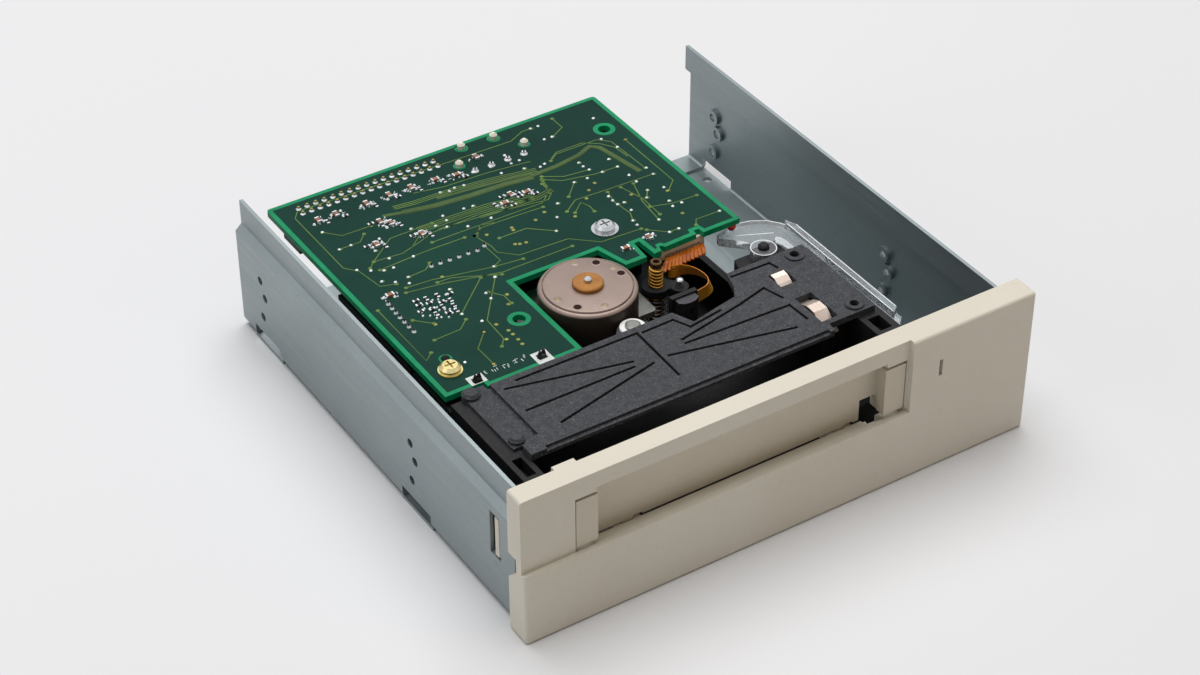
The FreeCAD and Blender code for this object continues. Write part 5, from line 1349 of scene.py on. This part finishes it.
    def mount_parts(self, shop: Workshop) -> None:
        """Mount the small parts with their tinned ends.

        Args:
            shop: The finishes, the growers and the frame.
        """
        near = [(x + 1.7, depth - 1.9) for x, depth in self.parts if 100 < depth < 132]
        near += [(x - 2.4, depth + 0.6) for x, depth in self.parts if 108 < depth < 126]
        near += self.cluster_parts()
        large = (self.parts, 0.5, self.seed)
        small = (near, 0.4, self.seed + 2)
        for name, finish, (places, turned, seed), block, slot in (
                ("chip_part_bodies", "chip_ceramic", large, Block(1.5, 1.2, 0.72), "chip_plastic"),
                ("chip_part_ends", "solder", large, Block(0.42, 1.26, 0.76, 1.8), "bright_steel"),
                ("small_part_bodies", "chip_plastic", small, Block(1.0, 0.75, 0.42), "chip_plastic"),
                ("small_part_ends", "solder", small, Block(0.4, 0.85, 0.48, 1.3), "bright_steel")):
            middles = dots(f"{name}_seed", places, self.top + self.film + block.height / 2)
            piece = shop.grow(shop.blocks, name, middles, finish, block.inputs(turned, seed))
            shop.place(piece, "chassis", slot)

    def frame_prongs(self, shop: Workshop) -> None:
        """Print a white frame round each prong, and give the prongs their barbs.

        Args:
            shop: The finishes, the growers and the frame.
        """
        level = self.top + self.film + self.print_lift
        for i, (x, depth) in enumerate(self.prongs):
            left, right = x - 2.2, x + 2.2
            front, rear = self.frame_fronts[i], depth + 2.1
            outer = [(left, front), (right, front), (right, rear), (left, rear)]
            inner = [(x - 1.2, depth - 1.1), (x + 1.2, depth - 1.1), (x + 1.2, depth + 1.1),
                     (x - 1.2, depth + 1.1)]
            piece = shop.plate(f"white_frame_{i + 1}", outer, [inner], level, level + self.print_gauge,
                               "silkscreen")
            shop.place(piece, "chassis", "circuit_board")
        barbs = [(x + side * 0.62, depth + side * 0.2) for x, depth in self.prongs for side in (-1, 1)]
        StudSet("prong_barbs", barbs, self.top, Stud(0.82, 0.34, 1.9, 7), "black_plastic",
                "black_plastic").build(shop)

    def print_strokes(self, shop: Workshop) -> None:
        """Print the short white strokes beside the parts, with no lettering.

        Args:
            shop: The finishes, the growers and the frame.
        """
        chance = random.Random(self.seed + 5)
        marks = []
        for x, depth in self.stroke_groups:
            marks += [(x + chance.uniform(-0.9, 0.9), depth + chance.uniform(-0.9, 0.9)) for _ in range(4)]
        for x, depth in self.parts[:14]:
            marks += [(x + side * 2.2, depth + chance.uniform(-0.6, 0.6)) for side in (-1, 1)]
        seed = dots("white_strokes_seed", marks, self.top + self.film + self.print_lift)
        stroke = Block(0.95, 0.16, self.print_gauge)
        piece = shop.grow(shop.blocks, "white_strokes", seed, "silkscreen", stroke.inputs(0.6, self.seed))
        shop.place(piece, "chassis", "circuit_board")


# ---------------------------------------------------------------- screw, springs and cable


class SpringFit(Enum):
    """How a spring lies, and what it follows."""

    UPRIGHT = "upright on the chassis"
    ALONG_HINGE = "lying along the hinge, on the chassis"
    TO_HEAD = "upright, from the chassis to the head"


@dataclass(frozen=True)
class Spring:
    """A coil spring wound in the space of its node."""

    node: str
    turns: float
    wire: float
    fit: SpringFit = SpringFit.UPRIGHT
    steps_a_turn: int = 26
    shrink: float = 1.02

    def build(self, shop: Workshop) -> None:
        """Wind the spring and put it on the chassis, or, when it runs to the head, leave it on no body.

        Args:
            shop: The finishes, the growers and the frame.
        """
        low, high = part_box(self.node)
        size = high - low
        middle = (low + high) / 2
        lying = self.fit is SpringFit.ALONG_HINGE
        length, across = (size.x, size.z) if lying else (size.z, size.x)
        wire = self.wire * MM
        seed = bpy.data.meshes.new(f"{self.node}_seed")
        seed.from_pydata([(0, 0, wire)], [], [])
        inputs = {"Radius": across / 2 - wire * self.shrink, "Height": length - 2 * wire, "Turns": self.turns,
                  "Wire": wire, "Steps": int(self.turns * self.steps_a_turn), "Sides": 8}
        coil = shop.grow(shop.coils, f"{self.node}_coil", seed, "spring_wire", inputs)
        if lying:
            coil.data.transform(Matrix.Rotation(math.pi / 2, 4, "Y"))
            coil.data.transform(Matrix.Translation((low.x, middle.y, middle.z)))
        else:
            coil.data.transform(Matrix.Translation((middle.x, middle.y, low.z)))
        if self.fit is SpringFit.TO_HEAD:
            shop.hang_between(coil, self.node)
        else:
            shop.place(coil, "chassis", "bright_steel", self.node)


@dataclass(frozen=True)
class ScrewDrive:
    """The threaded lead screw, its spring and the small springs of the latches and the door.

    Attributes:
        core: Radius of the thread's root.
        crest: Radius of the wire that stands for the thread's ridge.
        sink: How far the middle of that wire lies outside the root.
        thread: Heights of the thread's ends.
    """

    x: float = 6.5
    depth: float = 67.8
    core: float = 1.58
    crest: float = 0.36
    sink: float = 0.04
    thread: tuple[float, float] = (19.4, 36.0)
    pitch: float = 1.0
    steps: int = 560
    foot: tuple[Plan, ...] = ((0, 8.25), (0.95, 8.25), (0.98, 8.4), (0.98, 19.0))
    cap: tuple[Plan, ...] = (
        (1.38, 36.3), (1.38, 36.7), (1.54, 36.85), (1.54, 37.75), (1.36, 37.95), (0.9, 37.95), (0.8, 37.8),
        (0.74, 36.9), (0, 36.8))
    springs: tuple[Spring, ...] = (
        Spring("anti_backlash_spring", 7.5, 0.22, SpringFit.TO_HEAD), Spring("latch_spring_left", 4.5, 0.14),
        Spring("latch_spring_right", 4.5, 0.14), Spring("door_spring", 6.5, 0.14, SpringFit.ALONG_HINGE))

    def build(self, shop: Workshop) -> None:
        """Turn the screw, wind the springs, and put each on its body, save the spring that runs to the head,
        which stays on no body.

        Args:
            shop: The finishes, the growers and the frame.
        """
        shape = bmesh.new()
        profile = (*self.foot, (self.core, 19.3), (self.core, 36.15), *self.cap)
        revolve(shape, profile, at(self.x, self.depth, 0))
        core = shop.from_mesh("lead_screw_core", shape, "dark_brass")
        low, high = self.thread
        tall = high - low
        inputs = {"Radius": (self.core + self.sink) * MM, "Height": tall * MM, "Turns": tall / self.pitch,
                  "Wire": self.crest * MM, "Steps": self.steps, "Sides": 6}
        seed = dots("lead_screw_thread_seed", [(self.x, self.depth)], low)
        crest = shop.grow(shop.coils, "lead_screw_thread", seed, "brass", inputs)
        shop.place(core, "lead_screw", "brass", "lead_screw")
        shop.place(crest, "lead_screw", "brass")
        for spring in self.springs:
            spring.build(shop)


@dataclass(frozen=True)
class HeadCable:
    """The amber flat cable: the pleated fold under its socket and the band that curls to the head.

    Attributes:
        path: Points of the band's middle in plan, from the fold to the head.
        levels: Heights of the band's lower edge at its ends.
        curl: The middle of its bend, from which it leans away at the foot.
        lean: How far it leans to each side at the most.
        lean_span: The shares of its length between which it leans.
        fixed_end: Not used; the point up to which the band would stay with the chassis.
        head_end: Not used; the point from which the band would move with the head.
        fan: Corners of the pleated fold: two at the socket, two at its foot.
        pleat_half: Half the width and half the height of a pleat.
    """

    path: tuple[Plan, ...] = (
        (17.6, 72.2), (13.4, 71.2), (12.4, 70.7), (13.4, 70.0), (16.2, 69.4), (18.4, 67.4), (19.4, 64.4),
        (18.9, 61.2), (16.6, 59.2), (12.4, 58.4))
    width: float = 3.9
    gauge: float = 0.16
    levels: tuple[float, float] = (29.0, 27.9)
    curl: Plan = (13.4, 64.6)
    lean: float = 1.1
    lean_span: tuple[float, float] = (0.35, 0.9)
    fixed_end: Space = (15.0, 69.4, 30.0)
    head_end: Space = (15.0, 58.6, 30.0)
    fan: tuple[Space, ...] = ((13.6, 72.9, 33.4), (24.2, 72.9, 33.4), (23.2, 70.2, 32.2), (10.6, 70.0, 31.6))
    pleats: int = 11
    pleat_half: tuple[float, float] = (0.55, 0.34)
    pleat_rise: float = 0.5
    facets: int = 8

    def build(self, shop: Workshop) -> None:
        """Make the band and the pleats.

        Args:
            shop: The finishes, the growers and the frame.
        """
        band = self.band(shop)
        shop.hang_between(band, "head_flex_cable")
        shop.place(self.comb(shop), "chassis", "polyimide")

    def smooth(self) -> list[Plan]:
        """Round the path through its points.

        Returns:
            The rounded path in plan.
        """
        ends = [self.path[0], *self.path, self.path[-1]]
        points = []
        for a, b, c, d in zip(ends, ends[1:], ends[2:], ends[3:]):
            for i in range(self.facets):
                t = i / self.facets
                points.append(tuple(0.5 * (2 * b[k] + (c[k] - a[k]) * t
                                           + (2 * a[k] - 5 * b[k] + 4 * c[k] - d[k]) * t * t
                                           + (3 * b[k] - a[k] - 3 * c[k] + d[k]) * t ** 3) for k in (0, 1)))
        return points + [self.path[-1]]

    def band(self, shop: Workshop) -> bpy.types.Object:
        """Make the band on edge, leaning in its curl, with a map along and across it.

        Args:
            shop: The finishes, the growers and the frame.

        Returns:
            The band.
        """
        middle = self.smooth()
        left, right = (beside(middle, side * self.gauge / 2) for side in (1, -1))
        shape = bmesh.new()
        sheet = shape.loops.layers.uv.new("along_cable")
        rows = []
        for i, (x, depth) in enumerate(middle):
            t = i / (len(middle) - 1)
            low = self.levels[0] + (self.levels[1] - self.levels[0]) * t
            away = Vector((x - self.curl[0], depth - self.curl[1])).normalized()
            start, end = self.lean_span
            share = min(1.0, max(0.0, (t - start) / (end - start)))
            lean = away * self.lean * math.sin(math.pi * share)
            corners = ((left[i], low, 1), (left[i], low + self.width, -1), (right[i], low + self.width, -1),
                       (right[i], low, 1))
            rows.append([shape.verts.new(at(point[0] + lean.x * way, point[1] + lean.y * way, z))
                         for point, z, way in corners])
        across = (0.0, 1.0, 1.0, 0.0)
        for i, (near, far) in enumerate(zip(rows, rows[1:])):
            for k in range(4):
                m = (k + 1) % 4
                face = shape.faces.new((near[k], near[m], far[m], far[k]))
                for loop, (step, level) in zip(face.loops, ((i, k), (i, m), (i + 1, m), (i + 1, k))):
                    loop[sheet].uv = (step / len(rows), across[level])
        shape.faces.new(rows[0])
        shape.faces.new(rows[-1])
        bmesh.ops.recalc_face_normals(shape, faces=shape.faces)
        return shop.from_mesh("head_cable_band", shape, "polyimide")

    def comb(self, shop: Workshop) -> bpy.types.Object:
        """Make the pleats that run from the socket down to the fold.

        Args:
            shop: The finishes, the growers and the frame.

        Returns:
            The pleats, as one piece.
        """
        shape = bmesh.new()
        a, b, c, d = (at(*corner) for corner in self.fan)
        wide, tall = self.pleat_half
        turns = [j * math.pi / 4 for j in range(self.facets)]
        for i in range(self.pleats):
            t = i / (self.pleats - 1)
            start, finish = a.lerp(b, t), d.lerp(c, t)
            along = (finish - start).normalized()
            side = along.cross(Vector((0, 0, 1))).normalized()
            up = side.cross(along).normalized()
            crown = start.lerp(finish, 0.5) + up * (self.pleat_rise * MM)
            rings = [[shape.verts.new(end + (side * math.cos(q) * wide + up * math.sin(q) * tall) * MM)
                      for q in turns] for end in (start, crown, finish)]
            for near, far in zip(rings, rings[1:]):
                for j in range(self.facets):
                    k = (j + 1) % self.facets
                    shape.faces.new((near[j], near[k], far[k], far[j]))
            shape.faces.new(rings[0])
            shape.faces.new(rings[-1])
        bmesh.ops.recalc_face_normals(shape, faces=shape.faces)
        return shop.from_mesh("head_cable_pleats", shape, "amber_fold")


# ---------------------------------------------------------------- motor, bridge, light guide and lamp


@dataclass(frozen=True)
class Spindle:
    """The spun motor bell with its rim, painted shade for its three through holes, and its pressed dimples.

    Attributes:
        face: Height of the bell's upper face.
        sharp: Angle in degrees from which an edge stays sharp.
        holes: Angles of the holes on their pitch circle, in degrees.
        dimples: Angles of the dimples on it.
    """

    x: float = -15.0
    depth: float = 66.4
    pitch_radius: float = 9.7
    face: float = 39.98
    facets: int = 96
    sharp: float = 32.0
    holes: tuple[float, ...] = (45.0, -2.0, 222.0)
    dimples: tuple[float, ...] = (77.0, 16.0, 187.0, 263.0)
    profile: tuple[Plan, ...] = (
        (4.02, 38.8), (11.55, 38.8), (11.55, 30.25), (12.75, 30.25), (12.78, 30.5), (12.78, 38.5),
        (12.7, 38.95), (12.45, 39.35), (12.1, 39.55), (11.75, 39.6), (11.7, 39.3), (11.5, 39.3),
        (11.45, 39.7), (11.3, 39.9), (11.0, 39.98), (4.02, 39.98), (4.02, 38.8))

    def build(self, shop: Workshop) -> None:
        """Spin the bell, mark its holes with painted shade, and mark its dimples.

        Args:
            shop: The finishes, the growers and the frame.
        """
        shape = bmesh.new()
        revolve(shape, self.profile, at(self.x, self.depth, 0), self.facets)
        bmesh.ops.remove_doubles(shape, verts=shape.verts, dist=1e-7)
        bmesh.ops.recalc_face_normals(shape, faces=shape.faces)
        bell = shop.turned("rotor_bell", shape, "motor_aluminium", self.sharp)
        shop.place(bell, "spindle", "motor_aluminium", "rotor_cup")
        for name, angles, stud, finish in (
                ("bell_hole_edges", self.holes, Stud(1.3, 1.14, 0.05, 24), "motor_aluminium"),
                # painted shade: dark discs for the shade inside the three through holes
                ("bell_hole_shadows", self.holes, Stud(1.02, 1.0, 0.07, 24), "hole_shadow"),
                ("bell_dimples", self.dimples, Stud(1.05, 0.5, 0.16, 24), "motor_aluminium"),
                ("bell_dimple_tops", self.dimples, Stud(0.42, 0.36, 0.19, 24), "gilt_pad")):
            marks = [round_about(self.x, self.depth, self.pitch_radius, angle) for angle in angles]
            StudSet(name, marks, self.face, stud, finish, "motor_aluminium", "spindle").build(shop)


@dataclass(frozen=True)
class BridgeGrooves:
    """Painted shade: dark strips on the floors of the grooves in the bridge over the cartridge bay."""

    floor: float = 37.6
    width: float = 0.78
    height: float = 0.12
    runs: tuple[tuple[Plan, ...], ...] = (
        ((-52.9, 43.8), (-21.5, 36.1)),
        ((-52.8, 34.1), (-22.3, 34.2)),
        ((-48.2, 25.9), (-17.6, 32.9)),
        ((-48.9, 45.3), (-14.4, 45.0), (-14.9, 26.0)),
        ((-12.9, 44.5), (-3.9, 44.7), (-1.8, 40.0), (8.2, 41.6)),
        ((-6.4, 36.9), (13.6, 40.9), (22.6, 43.3), (24.2, 37.5)),
        ((-6.5, 35.2), (23.9, 34.0), (24.2, 27.1)),
        ((-12.7, 33.4), (19.9, 25.6)),
        ((18.6, 51.6), (30.0, 51.2), (30.6, 48.6)))

    def build(self, shop: Workshop) -> None:
        """Line every groove with a strip of painted shade.

        Args:
            shop: The finishes, the growers and the frame.
        """
        # painted shade: dark strips that stand for the shade in the grooves
        StripSet("bridge_groove_painted_shade", self.runs, self.floor + self.height / 2, self.width, self.height,
                 "groove_painted_shade", "black_plastic").build(shop)


@dataclass(frozen=True)
class LightGuide:
    """The clear moulding that carries the lamp's light along the right side to the slit in the front.

    Attributes:
        low: Height of the flat part's under face.
        high: Height of its upper face.
        slit: Middle of the slit in the front.
        ring: Middle, outer radius and bore of the ring round its screw.
        rear: Outline of the broad end by the lamp.
        edge: Width of the painted highlight lines along its edges.
        bend: The painted highlight line across the broad end.
    """

    low: float = 30.2
    high: float = 32.7
    slit: float = 45.5
    slit_half: float = 0.45
    ring: tuple[float, float, float, float] = (37.3, 63.6, 3.6, 1.6)
    outer_side: tuple[Plan, ...] = ((46.6, 8.6), (46.6, 18.0), (49.0, 20.4))
    rear: tuple[Plan, ...] = (
        (49.0, 66.0), (47.6, 70.0), (45.2, 73.0), (41.5, 75.3), (37.8, 76.2), (34.9, 75.6), (30.2, 74.6),
        (30.0, 73.2), (33.2, 70.0), (35.3, 67.9))
    inner_side: tuple[Plan, ...] = ((42.6, 66.0), (44.2, 64.6), (44.2, 8.6))
    flange: tuple[Plan, ...] = ((46.9, 21.0), (49.0, 22.6), (49.0, 65.4), (47.6, 68.6), (46.9, 67.0))
    flange_top: float = 34.7
    overlap: float = 0.02
    edge: float = 0.3
    edge_gauge: float = 0.05
    bend: tuple[Plan, ...] = ((31.0, 73.2), (36.4, 70.9), (43.4, 67.6))
    flange_lines: tuple[tuple[Plan, ...], ...] = (
        ((47.05, 21.6), (47.05, 66.6)), ((48.85, 22.8), (48.85, 65.2)))

    def build(self, shop: Workshop) -> None:
        """Cut the flat moulding and its upright flange, and lay painted highlights along their edges.

        Args:
            shop: The finishes, the growers and the frame.
        """
        x, depth, outer, inner = self.ring
        curl = [round_about(x, depth, outer, degrees) for degrees in range(124, 371, 19)]
        left, right = self.slit - self.slit_half, self.slit + self.slit_half
        outline = [(left, 1.0), (right, 1.0), (right, 7.4), *self.outer_side, *self.rear, *curl,
                   *self.inner_side, (left, 7.4)]
        flat = shop.plate("light_guide", outline, [circle(x, depth, inner)], self.low, self.high,
                          "clear_plastic")
        shop.place(flat, "chassis", "clear_plastic", "light_pipe")
        rib = shop.plate("light_guide_flange", self.flange, [], self.high - self.overlap, self.flange_top,
                         "clear_plastic")
        shop.place(rib, "chassis", "clear_plastic")
        lip = outer - 0.2
        flat_lines = (self.rear[:7], [*circle(x, depth, lip), (x + lip, depth)], self.bend)
        # painted highlights: white strips along the broad end, round the ring and across the bend
        for name, runs, level in (("light_guide_painted_highlights", flat_lines, self.high),
                                  ("light_guide_flange_painted_highlights", self.flange_lines, self.flange_top)):
            StripSet(name, runs, level, self.edge, self.edge_gauge, "painted_highlight",
                     "clear_plastic").build(shop)


@dataclass(frozen=True)
class StatusLamp:
    """The status lamp under the board's corner."""

    x: float = 33.4
    depth: float = 72.7
    facets: int = 24
    sharp: float = 40.0
    profile: tuple[Plan, ...] = (
        (0, 34.5), (0.5, 34.55), (0.85, 34.7), (1.0, 35.0), (1.0, 35.5), (1.15, 35.5), (1.15, 35.9),
        (0, 35.9))

    def build(self, shop: Workshop) -> None:
        """Turn the lamp's body and put it in the space of its node.

        Args:
            shop: The finishes, the growers and the frame.
        """
        shape = bmesh.new()
        revolve(shape, self.profile, at(self.x, self.depth, 0), self.facets)
        lamp = shop.turned("status_lamp_body", shape, "lamp_red", self.sharp)
        shop.place(lamp, "chassis", "lamp_red", "status_led")


# ---------------------------------------------------------------- studio


@dataclass(frozen=True)
class Lamp:
    """A soft square lamp."""

    name: str
    spot: Space
    aim: Space
    size: float
    watts: float
    tint: Colour = (1.0, 1.0, 1.0)

    def hang(self) -> None:
        """Hang the lamp and aim it."""
        light = bpy.data.lights.new(self.name, "AREA")
        light.shape = "SQUARE"
        light.size = self.size
        light.energy = self.watts
        light.color = self.tint
        lamp = bpy.data.objects.new(self.name, light)
        bpy.context.scene.collection.objects.link(lamp)
        lamp.location = self.spot
        lamp.rotation_euler = (Vector(self.aim) - Vector(self.spot)).to_track_quat("-Z", "Y").to_euler()


@dataclass(frozen=True)
class Studio:
    """The pale floor, the lamps, the world and the camera."""

    camera_spot: Space = (-0.31313, -0.47723, 0.45031)
    target: Space = (-0.0026971, 0.006, 0.009433)
    lens: float = 82.77
    sensor: float = 36.0
    roll: float = -0.1461
    floor_half: float = 6.0
    floor_drop: float = 0.00005
    paper: tuple[Colour, Colour] = ((224, 224, 226), (228, 228, 229))
    room_tint: tuple[float, float, float, float] = (0.97, 0.98, 1.0, 1.0)
    room_light: float = 0.12
    room_seen: float = 0.9
    lamps: tuple[Lamp, ...] = (
        Lamp("lamp_over", (0.1, 0.3, 1.4), (0, 0, 0), 1.5, 25.0),
        Lamp("lamp_left", (-0.95, 0.1, 0.55), (0, 0, 0.02), 0.7, 1.65),
        Lamp("lamp_front", (0.7, -1.0, 0.5), (0, 0, 0.02), 0.8, 1.25, (1.0, 0.72, 0.45)))

    def build(self) -> None:
        """Set up the stage, the light and the camera."""
        self.floor()
        self.world()
        for lamp in self.lamps:
            lamp.hang()
        self.camera()

    def floor(self) -> None:
        """Lay the pale floor under the drive."""
        shape = bmesh.new()
        bmesh.ops.create_grid(shape, x_segments=8, y_segments=8, size=self.floor_half)
        mesh = bpy.data.meshes.new("studio_floor")
        shape.to_mesh(mesh)
        shape.free()
        floor = bpy.data.objects.new("studio_floor", mesh)
        bpy.context.scene.collection.objects.link(floor)
        floor.location.z = -self.floor_drop
        material = bpy.data.materials.new("studio_paper")
        material.use_nodes = True
        wiring = Wiring(material.node_tree)
        shader = material.node_tree.nodes["Principled BSDF"]
        noise = wiring.add("ShaderNodeTexNoise")
        wiring.fill(noise, {"Scale": 3.0})
        tint = wiring.add("ShaderNodeMix", data_type="RGBA")
        wiring.fill(tint, {"A": linear(self.paper[0]), "B": linear(self.paper[1])})
        place = wiring.add("ShaderNodeTexCoord")
        wiring.join(place.outputs["Object"], noise.inputs["Vector"])
        wiring.join(noise.outputs["Fac"], tint.inputs["Factor"])
        wiring.join(tint.outputs["Result"], shader.inputs["Base Color"])
        wiring.fill(shader, {"Roughness": 0.7, "Specular IOR Level": 0.2})
        mesh.materials.append(material)

    def world(self) -> None:
        """Light the room dimly, and show it white to the camera, in gloss and through glass."""
        world = bpy.data.worlds.new("studio_world")
        bpy.context.scene.world = world
        world.use_nodes = True
        wiring = Wiring(world.node_tree)
        shade = world.node_tree.nodes["Background"]
        path = wiring.add("ShaderNodeLightPath")
        seen = wiring.add("ShaderNodeMath", operation="MAXIMUM")
        through = wiring.add("ShaderNodeMath", operation="MAXIMUM")
        level = wiring.add("ShaderNodeMapRange")
        wiring.fill(level, {"To Min": self.room_light, "To Max": self.room_seen})
        wiring.join(path.outputs["Is Camera Ray"], seen.inputs[0])
        wiring.join(path.outputs["Is Glossy Ray"], seen.inputs[1])
        wiring.join(seen.outputs["Value"], through.inputs[0])
        wiring.join(path.outputs["Is Transmission Ray"], through.inputs[1])
        wiring.join(through.outputs["Value"], level.inputs["Value"])
        wiring.join(level.outputs["Result"], shade.inputs["Strength"])
        wiring.fill(shade, {"Color": self.room_tint})

    def camera(self) -> None:
        """Set the camera at the angle of the view."""
        view = bpy.data.cameras.new("view_camera")
        view.lens = self.lens
        view.sensor_width = self.sensor
        view.clip_end = 20.0
        camera = bpy.data.objects.new("view_camera", view)
        bpy.context.scene.collection.objects.link(camera)
        camera.location = self.camera_spot
        aim = (Vector(self.target) - Vector(self.camera_spot)).to_track_quat("-Z", "Y")
        camera.rotation_mode = "QUATERNION"
        camera.rotation_quaternion = aim @ Matrix.Rotation(math.radians(self.roll), 3, "Z").to_quaternion()
        bpy.context.scene.camera = camera


def main() -> None:
    """Load the frame, dress it, and build the fine pieces and the studio."""
    logging.basicConfig(level=logging.INFO, format="%(name)s: %(message)s")
    bpy.ops.wm.read_factory_settings(use_empty=True)
    bpy.context.scene.view_settings.view_transform = "Standard"
    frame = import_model()
    shop = Workshop(frame)
    shop.dress_nodes()
    for assembly in (BoardDress(), ScrewDrive(), HeadCable(), Spindle(), BridgeGrooves(), LightGuide(),
                     StatusLamp()):
        assembly.build(shop)
    Studio().build()
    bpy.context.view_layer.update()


if __name__ == "__main__":
    main()
